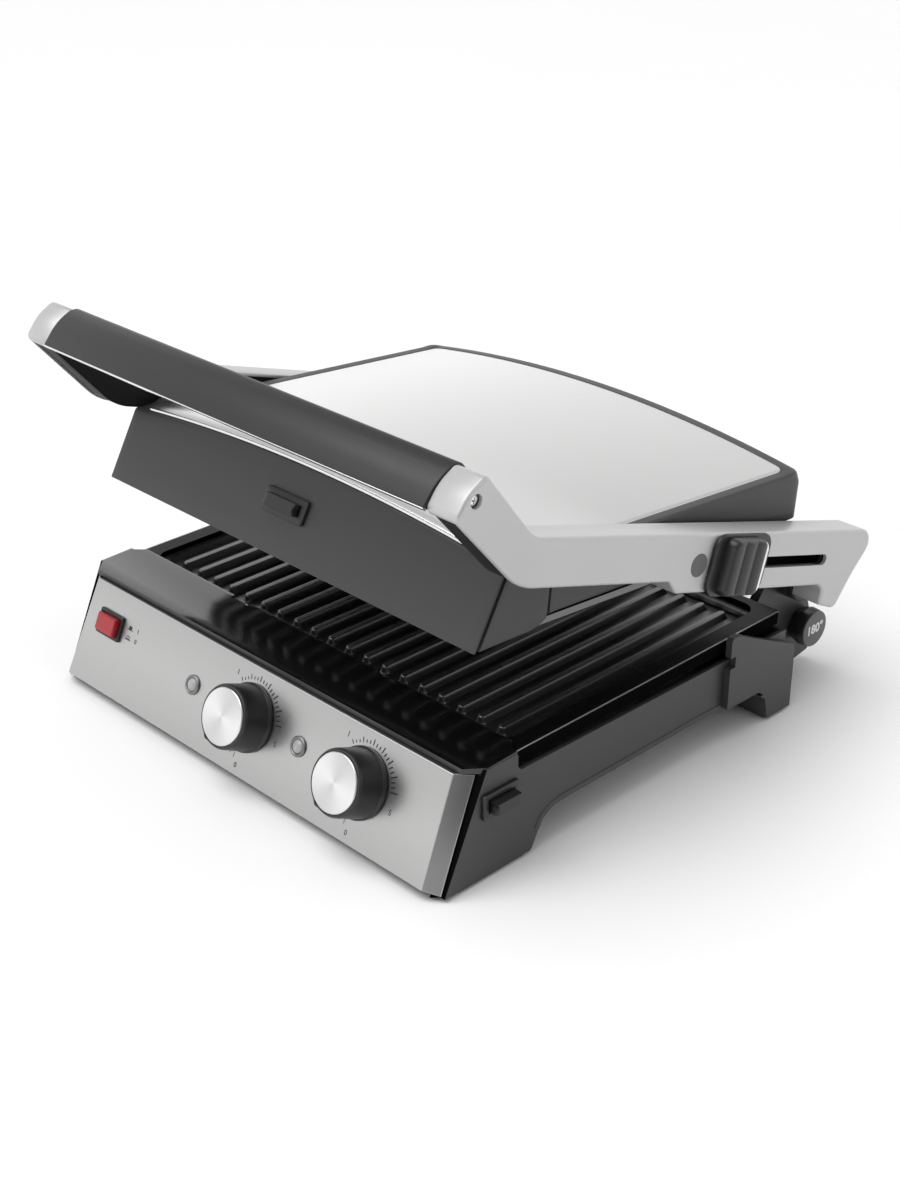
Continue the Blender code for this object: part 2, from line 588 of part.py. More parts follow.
def lid_shell(satin):
    """Dark lid body: slanted front face, skirt and the bed of the steel cover."""
    side = [LID_FACE_LOW, LID_FACE_HIGH, (-120.5, 33.5), (113.9, 33.5), (118.5, 19.0), (122.0, 14.0),
            (122.3, -9.5)]
    shell = new_object("lid_shell", prism_x(side, -LID_HALF, LID_HALF), satin, LID)
    bed = arch(COVER_HALF + GAP, 1.6)
    outside = bed + [(COVER_HALF + GAP, COVER_EDGE), (160, 20.0), (160, 60), (-160, 60), (-160, 20.0),
                     (-COVER_HALF - GAP, COVER_EDGE)]
    cut(shell, prism_y(outside, -150, 113.8))
    rear = arch(COVER_HALF + 3, -0.4) + [(160, 20.0), (160, 60), (-160, 60), (-160, 20.0)]
    cut(shell, prism_y(rear, 113.0, 150))
    hollow = [(-139.5, -40), (-118.3, 15.5), (114.8, 15.5), (117.6, -40)]
    cut(shell, prism_x(hollow, -147.0, 147.0))
    roof = arch(138.0, 5.0) + [(138.0, 8.0), (-138.0, 8.0)]
    cut(shell, prism_y(roof, -117.0, 110.0))
    cut(shell, rod(SHAFT_R + 0.4, -200, 200, "x", (0, 0, 0)))
    return shell


def lid(satin, steel, cast, rod_steel, dark, bright):
    """The lid and what it holds: steel cover, upper plate, element, reflector, liner and pivot pins."""
    x, up = LID_BUTTON
    cut(lid_shell(satin), box(x - 14.4, x + 14.4, up - 4.9, up + 4.9, -20, 20), axes=LID_FRONT)
    top = arch(COVER_HALF, 0.0)
    under = arch(COVER_HALF, 1.2)[::-1]
    new_object("lid_cover", prism_y(top + under, -122.5, 113.4), steel, LID)
    shift = -(HINGE[0] + LID_PIVOT[0])
    front, back = PLATE_FRONT + shift, PLATE_BACK + shift
    crest = RIB_TOP + 0.5 - (HINGE[1] + LID_PIVOT[1])
    ribbed_plate("upper_plate", UPPER_HALF, front, back, crest + RIB_TALL, crest, -1, LID, cast, None)
    heater_loop("upper_heater", LID, crest + 12.6, rod_steel)
    pan("upper_reflector", 138.0, -100.0, 94.0, -8.0, 4.0, LID, bright, False)
    liner = new_object("lid_liner", box(-146.7, 146.7, -127.0, 114.0, -14.0, -11.5), dark, LID)
    cut(liner, prism_z(rounded_box(-135, 135, -96, 88, 9), -20, -5))
    pin = [(0, 144.0), (8.0, 144.0), (8.0, 146.6), (SHAFT_R, 146.6), (SHAFT_R, 171.9), (6.6, 171.9),
           (6.6, 173.9), (0, 173.9)]
    for name, sign in mirrored():
        profile = [(r, sign * a) for r, a in pin]
        new_object(f"lid_pivot_pin_{name}", turned(profile, "x", (0, 0, 0), 20), rod_steel, LID)


def lid_button(satin, black):
    """Upper plate's release button in its bezel on the lid's front face."""
    x, up = LID_BUTTON
    bezel = new_object("lid_button_bezel", box(x - 17, x + 17, up - 7, up + 7, GAP, 1.9), satin, LID_FRONT)
    join(bezel, box(x - 14.1, x + 14.1, up - 4.6, up + 4.6, -7.0, 1.0))
    cut(bezel, box(x - 12.6, x + 12.6, up - 3.6, up + 3.6, -10.0, 5.0))
    slide = frame("lid_button_axis", (x, up, 0), 0, LID_FRONT)
    new_object("lid_button", box(-12.3, 12.3, -3.3, 3.3, -10.0, 6.0), black, slide)


# ---- the press --------------------------------------------------------------
def build():
    satin = finish("satin_black", (0.060, 0.060, 0.062), 0.45)
    gloss = finish("gloss_black", (0.006, 0.006, 0.007), 0.08)
    black = finish("knob_black", (0.018, 0.018, 0.019), 0.38)
    dark = finish("inner_black", (0.030, 0.030, 0.031), 0.55)
    silver = finish("silver_paint", (0.56, 0.56, 0.56), 0.35, 0.6)
    steel = finish("brushed_steel", (0.60, 0.60, 0.60), 0.30, 1.0)
    bright = finish("bright_metal", (0.80, 0.80, 0.80), 0.15, 1.0)
    grey = finish("cap_grey", (0.13, 0.13, 0.13), 0.5)
    cast = finish("cast_coated", (0.030, 0.030, 0.031), 0.42, 0.2)
    element = finish("element_steel", (0.35, 0.34, 0.33), 0.35, 1.0)
    ceramic = finish("ceramic", (0.72, 0.70, 0.65), 0.6)
    rubber = finish("rubber", (0.02, 0.02, 0.02), 0.85)
    red = finish("switch_red", (0.60, 0.02, 0.03), 0.25)
    clear = finish("lamp_clear", (0.35, 0.36, 0.37), 0.12)

    base_tub(satin)
    control_panel(steel)
    top_frame(gloss)
    bottom_cover(satin)
    rear_brackets(satin, rubber)
    hinge_supports(satin)
    rear_cover(satin, black)
    lower_works(cast, element, ceramic, bright)
    knobs(black, bright, element, ceramic)
    lamps(clear, bright)
    power_switch(black, red)
    side_button(black, satin)
    release_knob(black, grey)
    hinge(element, dark)
    arms(silver, dark, bright)
    handle(black, element)
    height_slider(black, bright)
    lid(satin, steel, cast, element, dark, bright)
    lid_button(satin, black)
    bpy.context.view_layer.update()


clear_scene()
ROOT = frame("press", (-ORIGIN_X, -ORIGIN_Y, 0))
PANEL = frame("panel_axes", (0, *PANEL_FOOT), 90.0 - PANEL_LEAN, ROOT)
OPEN = frame("open_axis", (0, *HINGE), 0, ROOT)
ARMS = frame("press_axis", (0, 0, 0), -ARM_TILT, OPEN)
LID = frame("lid_axis", (0, *LID_PIVOT), ARM_TILT - LID_TILT, ARMS)
FACE_RUN, FACE_RISE = Vector(LID_FACE_HIGH) - Vector(LID_FACE_LOW)
LID_FRONT = frame("lid_front_axes", (0, *LID_FACE_LOW), math.degrees(math.atan2(FACE_RISE, FACE_RUN)), LID)
build()
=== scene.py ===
"""Looks of a panini press: a contact grill with a floating lid on two side arms.

Shapes are drawn in millimetres in the axes of the assembly they belong to. Those axes come from the
loaded frame's joints, so a piece lands where its body turns or slides.
"""
import json
import math

import bmesh
import bpy
import numpy as np
from bpy.props import FloatProperty, FloatVectorProperty, IntProperty, PointerProperty
from bpy.types import Operator, Panel, PropertyGroup
from mathutils import Matrix, Vector

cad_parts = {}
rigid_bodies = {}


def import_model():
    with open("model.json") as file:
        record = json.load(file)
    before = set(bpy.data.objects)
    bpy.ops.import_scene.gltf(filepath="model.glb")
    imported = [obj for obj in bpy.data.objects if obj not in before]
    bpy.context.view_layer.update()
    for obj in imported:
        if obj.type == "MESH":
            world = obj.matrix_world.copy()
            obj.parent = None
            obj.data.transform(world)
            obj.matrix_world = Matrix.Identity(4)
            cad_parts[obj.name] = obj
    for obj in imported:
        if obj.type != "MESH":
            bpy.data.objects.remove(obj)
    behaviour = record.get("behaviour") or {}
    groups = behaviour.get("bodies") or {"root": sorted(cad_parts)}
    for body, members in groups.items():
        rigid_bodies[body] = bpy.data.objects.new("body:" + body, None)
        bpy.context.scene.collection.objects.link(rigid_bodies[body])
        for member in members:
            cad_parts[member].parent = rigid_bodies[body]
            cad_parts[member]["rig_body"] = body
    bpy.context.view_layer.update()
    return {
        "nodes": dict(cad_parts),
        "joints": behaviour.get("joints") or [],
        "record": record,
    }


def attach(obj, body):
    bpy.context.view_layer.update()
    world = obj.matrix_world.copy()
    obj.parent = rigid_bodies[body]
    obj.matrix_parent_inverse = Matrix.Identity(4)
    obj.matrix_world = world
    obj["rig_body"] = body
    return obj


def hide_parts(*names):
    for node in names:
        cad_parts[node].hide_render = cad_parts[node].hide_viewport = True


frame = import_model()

bl_info = {
    "name": "Panini Press",
    "version": (1, 0, 0),
    "blender": (4, 5, 0),
    "location": "View3D > Sidebar > Press",
    "description": "Builds the visible pieces of a hinged contact grill around its frame",
    "category": "Add Mesh",
}

MM = 0.001
SIDES = (("left", -1), ("right", 1))

# ---- sizes that the pieces share, mm -------------------------------------------------------------
HINGE_BACK = 144.5            # hinge behind the middle of the base
CONTROL_UP = 32.0             # knobs and lamps, up the control panel
KNOB_X = {"left": 4.0, "right": 96.0}
LAMP_X = {"left": -46.5, "right": 46.0}
SWITCH_AT = (-129.0, 38.8)
PANEL_TALL, PANEL_LOW, PANEL_HIGH = 60.5, 154.9, 151.8
RIB_TOP, RIB_TALL = 61.2, 4.2
PLATE_FRONT, PLATE_BACK = -110.0, 98.0
ARM_IN, ARM_OUT, ARM_WEB = 153.5, 173.5, 2.2
ARM_SKIN = 170.4              # dark sill under the arms' front parts reaches out to here
ARM_CORNERS = [(-337.5, 55.8, 26), (-328.1, 65.4, 4), (-283.9, 34.4, 26), (28.5, 34.3, 9), (12.0, 6.8, 30),
               (2.5, -14.4, 5), (-14.5, -11.4, 2), (-16.5, 1.1, 8), (-159.8, 1.2, 4), (-168.0, 8.0, 4),
               (-287, 8.8, 38), (-342.3, 43.2, 4)]
HANDLE_SCREW = (-331.6, 52.6)
SLOT_FROM, SLOT_TO, SLOT_UP, SLOT_HALF = -120.0, -21.5, 16.9, 3.3
SLIDER_BACK = -112.0
LID_HALF = 151.5
COVER_HALF, COVER_EDGE, COVER_CROWN, COVER_LIFT = 143.6, 20.5, 11.3, 4.2
FACE_LOW, FACE_HIGH = (-143.9, -17.4), (-124.2, 25.6)
LID_BUTTON = (-5.0, 27.0)
SIDE_BUTTON = (-130.0, 45.0)
INK = (0.02, 0.09)            # print on the panel starts and ends here above the steel
BODY_HALF = 165.0
FRAME_HALF, FRAME_BACK = 161.6, 105.0
FRAME_TOP, RAIL_TOP = 67.4, 64.6
LATCH_X = 62.0
FLAP_OUT, FLAP_BACK = 8.4, 7.07   # how far the panel's folded ends reach


# ---- axes ------------------------------------------------------------------------------------------
def joint(name):
    """The frame's joint of that name."""
    return next(each for each in frame["joints"] if each["name"] == name)


def axes(origin, turn_x=0.0):
    """Millimetres from an origin, turned about X, to metres in the frame."""
    turned = Matrix.Translation(origin) @ Matrix.Rotation(math.radians(turn_x), 4, "X")
    return np.array(turned @ Matrix.Scale(MM, 4))


def shifted(place, x=0.0, y=0.0, z=0.0):
    """Axes moved along themselves, in millimetres."""
    return place @ np.array(Matrix.Translation((x, y, z)))


HINGE_AT = Vector(joint("open_hinge")["pos_m"])
ARM_TURN = joint("press_hinge")["range_deg"][0]
LID_TURN = ARM_TURN * (1.0 + frame["record"]["behaviour"]["couplings"][0]["ratio"])
BASE = axes((HINGE_AT.x, HINGE_AT.y - HINGE_BACK * MM, 0.0))
ARMS = axes(HINGE_AT, ARM_TURN)
LID = axes(joint("lid_pivot")["pos_m"], LID_TURN)
INWARD = Vector(joint("knob_left_turn")["axis"])
PANEL_TURN = math.degrees(math.atan2(INWARD.y, -INWARD.z))
KNOBS = {side: axes(joint(f"knob_{side}_turn")["pos_m"], PANEL_TURN) for side, _ in SIDES}
PANEL = shifted(KNOBS["left"], -KNOB_X["left"], -CONTROL_UP)
RELEASE = axes(joint("release_turn")["pos_m"])
SLIDER = shifted(ARMS, ARM_OUT, SLIDER_BACK, SLOT_UP)
FACE_TURN = math.atan2(FACE_HIGH[1] - FACE_LOW[1], FACE_HIGH[0] - FACE_LOW[0])
LID_FRONT = shifted(LID, 0.0, *FACE_LOW) @ np.array(Matrix.Rotation(FACE_TURN, 4, "X"))


# ---- outlines and profiles ---------------------------------------------------------------------------
def unit(vectors):
    """Vectors of length one."""
    length = np.linalg.norm(vectors, axis=-1, keepdims=True)
    return vectors / np.maximum(length, 1e-9)


def cross(a, b):
    """Signed area that two plane vectors span."""
    return a[..., 0] * b[..., 1] - a[..., 1] * b[..., 0]


def moved_in(here, radius, inset):
    """Each edge moves inwards and meets its neighbours again; corners keep their arcs' centres."""
    after = unit(np.roll(here, -1, 0) - here)
    before = np.roll(after, 1, 0)
    turn = np.sign(cross(here, np.roll(here, -1, 0)).sum())
    inward = turn * np.stack([-after[:, 1], after[:, 0]], 1)
    previous = np.roll(inward, 1, 0)
    miter = (inward + previous) / (1.0 + (inward * previous).sum(1, keepdims=True))
    bend = np.sign(cross(before, after) * turn)
    return here + miter * inset, np.maximum(radius - bend * inset, 0.05)


def arcs(corners, steps=5, inset=0.0):
    """A closed outline of (a, b, radius) corners; each becomes an arc about a point on its bisector."""
    corners = np.asarray(corners, float)
    here, radius = corners[:, :2], corners[:, 2]
    if inset:
        here, radius = moved_in(here, radius, inset)
    back = unit(np.roll(here, 1, 0) - here)
    ahead = unit(np.roll(here, -1, 0) - here)
    half = np.arccos(np.clip((back * ahead).sum(1), -0.99999, 0.99999)) / 2
    centre = here + unit(back + ahead) * (radius / np.sin(half))[:, None]
    reach = (radius / np.tan(half))[:, None]
    start, end = here + back * reach - centre, here + ahead * reach - centre
    sweep = np.arctan2(cross(start, end), (start * end).sum(1))
    angle = sweep[:, None] * np.linspace(0, 1, steps + 1)
    cosine, sine = np.cos(angle), np.sin(angle)
    x = centre[:, :1] + start[:, :1] * cosine - start[:, 1:] * sine
    y = centre[:, 1:] + start[:, :1] * sine + start[:, 1:] * cosine
    return np.stack([x, y], -1).reshape(-1, 2)


def rectangle(a0, a1, b0, b1, radius):
    """A rectangle's corners from its limits."""
    return [(a0, b0, radius), (a1, b0, radius), (a1, b1, radius), (a0, b1, radius)]


def block(a, b, half_a, half_b, radius):
    """A rectangle's corners from its middle and its half sizes."""
    return rectangle(a - half_a, a + half_a, b - half_b, b + half_b, radius)


def soft_profile(low, high, edge, steps=3, flat=0.4):
    """(inset, height) of a slab whose two edges are quarter circles; a narrow flat ring beside each
    keeps the shading of the faces level."""
    turn = np.linspace(0, math.pi / 2, steps + 1)
    lower = np.stack([edge * (1 - np.sin(turn)), low + edge * (1 - np.cos(turn))], 1)
    upper = np.stack([edge * (1 - np.cos(turn)), high - edge * (1 - np.sin(turn))], 1)
    return np.vstack([[(edge + flat, low)], lower, upper, [(edge + flat, high)]])


# ---- surfaces: each is an array of points and a list of faces ------------------------------------------
def skin(rings, closed=False):
    """Faces between rings of equally many points, capped at both ends unless the rings close."""
    rows, columns = rings.shape[:2]
    row = np.arange(rows if closed else rows - 1)[:, None]
    column = np.arange(columns)[None, :]
    below, beside = (row + 1) % rows, (column + 1) % columns
    quads = np.stack([row * columns + column, row * columns + beside,
                      below * columns + beside, below * columns + column], -1)
    faces = quads.reshape(-1, 4).tolist()
    if not closed:
        faces.append(list(range(columns))[::-1])
        faces.append(list(range((rows - 1) * columns, rows * columns)))
    return rings.reshape(-1, 3), faces


def refined(rings, spacing):
    """The same rings with their long edges divided evenly."""
    run = np.linalg.norm(np.roll(rings[0], -1, 0) - rings[0], axis=1)
    parts = np.maximum(np.ceil(run / spacing), 1).astype(int)
    index = np.repeat(np.arange(len(run)), parts)
    share = (np.arange(parts.sum()) - np.repeat(np.cumsum(parts) - parts, parts)) / parts[index]
    ahead = (index + 1) % len(run)
    return rings[:, index] * (1 - share)[None, :, None] + rings[:, ahead] * share[None, :, None]


def facing(rings, axis):
    """Put (a, b, height) points with their height along the named axis."""
    order = {"x": [2, 0, 1], "y": [0, 2, 1], "z": [0, 1, 2]}[axis]
    return rings[..., order]


def ring_stack(corners, profile, steps=5):
    """Outline points at each (inset, height) of a profile."""
    rings = [arcs(corners, steps, inset) for inset, _ in profile]
    heights = np.array([height for _, height in profile])
    heights = np.broadcast_to(heights[:, None, None], (len(rings), len(rings[0]), 1))
    return np.concatenate([np.array(rings), heights], -1)


def carry(corners, profile, axis="x", steps=5, closed=False):
    """An (inset, height) profile carried round an outline."""
    return skin(facing(ring_stack(corners, profile, steps), axis), closed)


def slab(corners, low, high, edge, axis="x", steps=5):
    """An outline given a thickness, its two edges rounded."""
    return carry(corners, soft_profile(low, high, edge), axis, steps)


def lathe(profile, axis="z", at=(0.0, 0.0, 0.0), sides=64, closed=False, lobes=None):
    """(radius, along, rounding) corners turned about an axis; lobes scales the radius by angle."""
    line = arcs(profile, 3)
    angle = np.arange(sides) * 2 * math.pi / sides
    swell = np.ones(sides) if lobes is None else lobes(angle)
    radius = line[:, :1] * swell
    rings = np.stack([radius * np.cos(angle), radius * np.sin(angle),
                      np.broadcast_to(line[:, 1:], radius.shape)], -1)
    points, faces = skin(facing(rings, axis), closed)
    return points + np.array(at), faces


def two_sided(top, bottom):
    """The closed solid between two grids of the same size, joined along their borders."""
    rows, columns = top.shape[:2]
    count = rows * columns
    index = np.arange(count).reshape(rows, columns)
    quads = np.stack([index[:-1, :-1], index[:-1, 1:], index[1:, 1:], index[1:, :-1]], -1).reshape(-1, 4)
    border = np.concatenate([index[0, :-1], index[:-1, -1], index[-1, :0:-1], index[:0:-1, 0]])
    ahead = np.roll(border, -1)
    side = np.stack([border, ahead, ahead + count, border + count], 1)
    faces = np.vstack([quads, (quads + count)[:, ::-1], side]).tolist()
    return np.concatenate([top.reshape(-1, 3), bottom.reshape(-1, 3)]), faces


def graded(low, high, first, last, coarse, margin=7.0):
    """Positions from low to high. Each end is spaced as a quarter circle of its radius needs, then
    evenly to the margin, and the middle is coarse."""
    turn = 1 - np.cos(np.linspace(0, math.pi / 2, 9))
    start = np.concatenate([low + first * turn, np.arange(low + first + 0.7, low + margin, 0.7)])
    end = np.concatenate([high - last * turn, np.arange(high - last - 0.7, high - margin, -0.7)])[::-1]
    middle = np.linspace(low + margin, high - margin, max(int((high - low) / coarse), 2))
    return np.concatenate([start, middle, end])


def rounded_grid(a, b, corner):
    """Grid over a rectangle with its corners drawn in to arcs, and each point's distance from the
    border. In a corner square a point keeps its direction from the arc's centre, and its larger
    offset becomes its distance from that centre."""
    x, y = np.meshgrid(a, b, indexing="ij")
    edge = np.minimum(np.minimum(x - a[0], a[-1] - x), np.minimum(y - b[0], b[-1] - y))
    cx, cy = np.clip(x, a[0] + corner, a[-1] - corner), np.clip(y, b[0] + corner, b[-1] - corner)
    dx, dy = x - cx, y - cy
    far = np.maximum(np.abs(dx), np.abs(dy))
    scale = np.where(far > 0, far / np.maximum(np.hypot(dx, dy), 1e-9), 1.0)
    return cx + dx * scale, cy + dy * scale, edge


def together(*shapes):
    """Several shapes as one."""
    points, faces, offset = [], [], 0
    for new_points, new_faces in shapes:
        points.append(new_points)
        faces += [[index + offset for index in face] for face in new_faces]
        offset += len(new_points)
    return np.concatenate(points), faces


def flipped(shape, sign):
    """A shape on the side of the press that the sign names."""
    return shape[0] * np.array([sign, 1, 1]), shape[1]


def smooth_step(value):
    """0 below 0, 1 above 1, and an S-shaped climb between."""
    value = np.clip(value, 0, 1)
    return value * value * (3 - 2 * value)


# ---- pieces --------------------------------------------------------------------------------------------
def finish_mesh(mesh, material, sharp):
    """One material, and smooth shading up to an angle in degrees."""
    mesh.materials.clear()
    mesh.materials.append(material)
    mesh.shade_smooth()
    mesh.set_sharp_from_angle(angle=math.radians(sharp))


def add_piece(name, mesh, body, nodes):
    """A mesh in the scene that rides on a body and stands in for CAD nodes."""
    made = bpy.data.objects.new(name, mesh)
    bpy.context.scene.collection.objects.link(made)
    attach(made, body)
    if nodes:
        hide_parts(*nodes)
    return made


def piece(name, shape, place, material, body, nodes=(), sharp=32.0, cutters=()):
    """A shape put into its assembly's axes as an object that rides on a body."""
    mesh = mesh_of(name, shape, place)
    made = add_piece(name, mesh, body, nodes)
    for cutter in cutters:
        carve(made, mesh_of("cutter", cutter, place))
    finish_mesh(made.data, material, sharp)
    return made


def mesh_of(name, shape, place):
    """A shape's mesh in metres: doubled points merged, faces turned outwards."""
    points, faces = shape
    world = points @ place[:3, :3].T + place[:3, 3]
    mesh = bpy.data.meshes.new(name)
    mesh.from_pydata(world.tolist(), [], faces)
    work = bmesh.new()
    work.from_mesh(mesh)
    bmesh.ops.remove_doubles(work, verts=work.verts, dist=2e-6)
    bmesh.ops.dissolve_degenerate(work, edges=work.edges, dist=1e-6)
    bmesh.ops.recalc_face_normals(work, faces=work.faces)
    work.to_mesh(mesh)
    work.free()
    return mesh


def carve(target, mesh):
    """Cut a mesh out of a piece for good."""
    tool = bpy.data.objects.new("cutter", mesh)
    bpy.context.scene.collection.objects.link(tool)
    step = target.modifiers.new("Cut", "BOOLEAN")
    step.object = tool
    bpy.context.view_layer.update()
    shaped = target.evaluated_get(bpy.context.evaluated_depsgraph_get())
    target.data = bpy.data.meshes.new_from_object(shaped)
    target.modifiers.clear()
    bpy.data.objects.remove(tool)


def eased(node, material, width=0.5, segments=2):
    """A CAD node's own shape with its sharp edges broken."""
    source = frame["nodes"][node]
    mesh = source.data.copy()
    work = bmesh.new()
    work.from_mesh(mesh)
    bmesh.ops.remove_doubles(work, verts=work.verts, dist=5e-6)
    bmesh.ops.dissolve_limit(work, angle_limit=math.radians(1.0), verts=work.verts, edges=work.edges)
    work.to_mesh(mesh)
    work.free()
    made = add_piece(f"{node}_moulding", mesh, source["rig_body"], [node])
    finish_mesh(mesh, material, 30.0)
    step = made.modifiers.new("Broken edges", "BEVEL")
    step.width = width * MM
    step.segments = segments
    step.limit_method = "ANGLE"
    step.angle_limit = math.radians(30)
    step.use_clamp_overlap = True
    step.harden_normals = True
    return made


def tint(made, chosen, material):
    """Give the faces that chosen(centres, normals) picks, in metres, a second finish."""
    faces = made.data.polygons
    centres, normals = np.empty(len(faces) * 3), np.empty(len(faces) * 3)
    faces.foreach_get("center", centres)
    faces.foreach_get("normal", normals)
    picked = chosen(centres.reshape(-1, 3), normals.reshape(-1, 3))
    slots = np.zeros(len(faces), np.int32)
    faces.foreach_get("material_index", slots)
    slots[picked] = len(made.data.materials)
    made.data.materials.append(material)
    faces.foreach_set("material_index", slots)


def coat(node, material):
    """Give a CAD node that stays in view its finish."""
    mesh = frame["nodes"][node].data
    mesh.materials.clear()
    mesh.materials.append(material)


# ---- finishes --------------------------------------------------------------------------------------------
class Value:
    """A shader socket that takes part in arithmetic; each operator adds one Math node."""

    def __init__(self, tree, socket):
        self.tree = tree
        self.socket = socket

    def maths(self, operation, *values):
        node = self.tree.nodes.new("ShaderNodeMath")
        node.operation = operation
        for entry, value in zip(node.inputs, values):
            plug(self.tree, entry, value)
        return Value(self.tree, node.outputs[0])

    def __add__(self, other):
        return self.maths("ADD", self, other)

    __radd__ = __add__

    def __sub__(self, other):
        return self.maths("SUBTRACT", self, other)

    def __rsub__(self, other):
        return self.maths("SUBTRACT", other, self)

    def __mul__(self, other):
        return self.maths("MULTIPLY", self, other)

    __rmul__ = __mul__

    def __pow__(self, other):
        return self.maths("POWER", self, other)


def plug(tree, entry, value):
    """Set a socket, or link a value to it."""
    if isinstance(value, Value):
        tree.links.new(value.socket, entry)
    else:
        entry.default_value = value


class Finish:
    """A material in the making: constants go on the shader's sockets, patterns are fed in."""

    def __init__(self, name, colour, roughness, metallic=0.0, coat_weight=0.0):
        self.material = bpy.data.materials.new(name)
        self.material.use_nodes = True
        self.tree = self.material.node_tree
        self.shader = self.tree.nodes["Principled BSDF"]
        self.colour = tuple(colour)
        self.roughness = roughness
        self.shader.inputs["Base Color"].default_value = (*self.colour, 1.0)
        self.shader.inputs["Roughness"].default_value = roughness
        self.shader.inputs["Metallic"].default_value = metallic
        self.shader.inputs["Coat Weight"].default_value = coat_weight

    def node(self, kind, settings=None, output=0, **entries):
        """Add any node: its settings first, then the values or links of its sockets."""
        node = self.tree.nodes.new("ShaderNode" + kind)
        for key, value in (settings or {}).items():
            setattr(node, key, value)
        for key, value in entries.items():
            plug(self.tree, node.inputs[key], value)
        return Value(self.tree, node.outputs[output])

    def places(self, scale=(1.0, 1.0, 1.0), at=(0.0, 0.0, 0.0), turn=(0.0, 0.0, 0.0), kind="POINT"):
        """Object coordinates, scaled, or measured from a point and turned."""
        here = self.node("TexCoord", output=3)
        return self.node("Mapping", {"vector_type": kind}, Vector=here, Scale=scale, Location=at,
                         Rotation=turn)

    def noise(self, places, scale, detail=2.0):
        return self.node("TexNoise", Vector=places, Scale=scale, Detail=detail)

    def feed(self, socket, value):
        plug(self.tree, self.shader.inputs[socket], value)

    def shade(self, amount, depth):
        """Vary the base colour: amount runs from 0 to 1, depth is the share of change."""
        low = (*[part * (1 - depth) for part in self.colour], 1.0)
        high = (*[min(part * (1 + depth), 1.0) for part in self.colour], 1.0)
        node = self.tree.nodes.new("ShaderNodeMix")
        node.data_type = "RGBA"
        plug(self.tree, node.inputs[0], amount)
        node.inputs[6].default_value = low
        node.inputs[7].default_value = high
        self.tree.links.new(node.outputs[2], self.shader.inputs["Base Color"])

    def bump(self, height, distance, strength=1.0):
        self.feed("Normal", self.node("Bump", Height=height, Distance=distance, Strength=strength))


def moulded(name, colour, roughness, grain=0.00002):
    """Moulded plastic: a fine spark-eroded grain under slow changes of tone and gloss."""
    made = Finish(name, colour, roughness)
    here = made.places()
    slow = made.noise(here, 35.0)
    fine = made.noise(here, 1400.0, 3.0)
    made.shade(slow * 0.6 + fine * 0.4, 0.10)
    made.feed("Roughness", roughness - 0.06 + slow * 0.12)
    made.bump(fine, grain)
    return made.material


def piano_gloss(name, colour, roughness, shine, coat_weight):
    """Polished plastic with the slightest orange peel."""
    made = Finish(name, colour, roughness, coat_weight=coat_weight)
    made.shader.inputs["Specular IOR Level"].default_value = shine
    made.shader.inputs["Coat Roughness"].default_value = roughness
    here = made.places()
    peel = made.noise(here, 90.0, 1.0)
    dust = made.noise(here, 2600.0, 1.0)
    made.shade(dust, 0.3)
    made.feed("Roughness", roughness + peel * 0.03)
    made.bump(peel, 0.00004)
    return made.material


def brushed(name, colour, roughness, stretch=(6.0, 2200.0, 2200.0), depth=0.07, relief=0.00001):
    """Sheet metal brushed along one direction: noise drawn out along the strokes."""
    made = Finish(name, colour, roughness, metallic=1.0)
    strokes = made.noise(made.places(stretch), 1.0, 3.0)
    broad = made.noise(made.places(), 9.0, 1.0)
    made.shade(strokes * 0.7 + broad * 0.3, depth)
    made.feed("Roughness", roughness - 0.05 + strokes * 0.1)
    made.bump(strokes, relief)
    return made.material


def turned_metal_painted_sheen(name, colour, roughness, centre, turn):
    """A disc turned on a lathe: fine rings, and a painted highlight, a tone that changes twice round the disc
    as the sheen of turned metal.
    """
    made = Finish(name, colour, roughness, metallic=1.0)
    here = made.places(at=centre, turn=turn, kind="TEXTURE")
    x = made.node("SeparateXYZ", Vector=here)
    y = made.node("SeparateXYZ", output=1, Vector=here)
    radius = (x * x + y * y) ** 0.5
    angle = y.maths("ARCTAN2", y, x)
    # Painted highlight: the tone rises and falls twice round the disc.
    painted_sheen_rays = (angle * 2.0 + 0.6).maths("COSINE", angle * 2.0 + 0.6) * 0.5 + 0.5
    rings = made.noise(made.node("CombineXYZ", X=radius * 9000.0), 1.0, 2.0)
    made.shade(painted_sheen_rays * 0.8 + rings * 0.2, 0.16)
    made.feed("Roughness", roughness + rings * 0.08)
    made.bump(rings, 0.000006)
    return made.material


def lacquered_casting(name, colour, roughness, metallic):
    """Silver lacquer over a die casting: fine metal flakes and a soft unevenness."""
    made = Finish(name, colour, roughness, metallic=metallic)
    here = made.places()
    flakes = made.noise(here, 4200.0, 1.0)
    wave = made.noise(here, 22.0, 1.0)
    made.shade(flakes * 0.5 + wave * 0.5, 0.08)
    made.feed("Roughness", roughness - 0.04 + wave * 0.08)
    made.bump(flakes, 0.000008)
    return made.material


def coated_casting(name, colour, roughness):
    """Non-stick coating sprayed over cast aluminium: a pebbled skin with pale specks."""
    made = Finish(name, colour, roughness, coat_weight=1.0)
    made.shader.inputs["Specular IOR Level"].default_value = 1.0
    made.shader.inputs["Coat Roughness"].default_value = 0.28
    here = made.places()
    skin_noise = made.noise(here, 900.0, 3.0)
    specks = made.node("TexVoronoi", {"feature": "F1"}, Vector=here, Scale=700.0)
    fleck = specks.maths("LESS_THAN", specks, 0.16)
    made.shade(skin_noise * 0.5 + fleck * 0.5, 0.5)
    made.feed("Roughness", roughness - 0.06 + skin_noise * 0.12)
    made.bump(skin_noise, 0.00003)
    return made.material


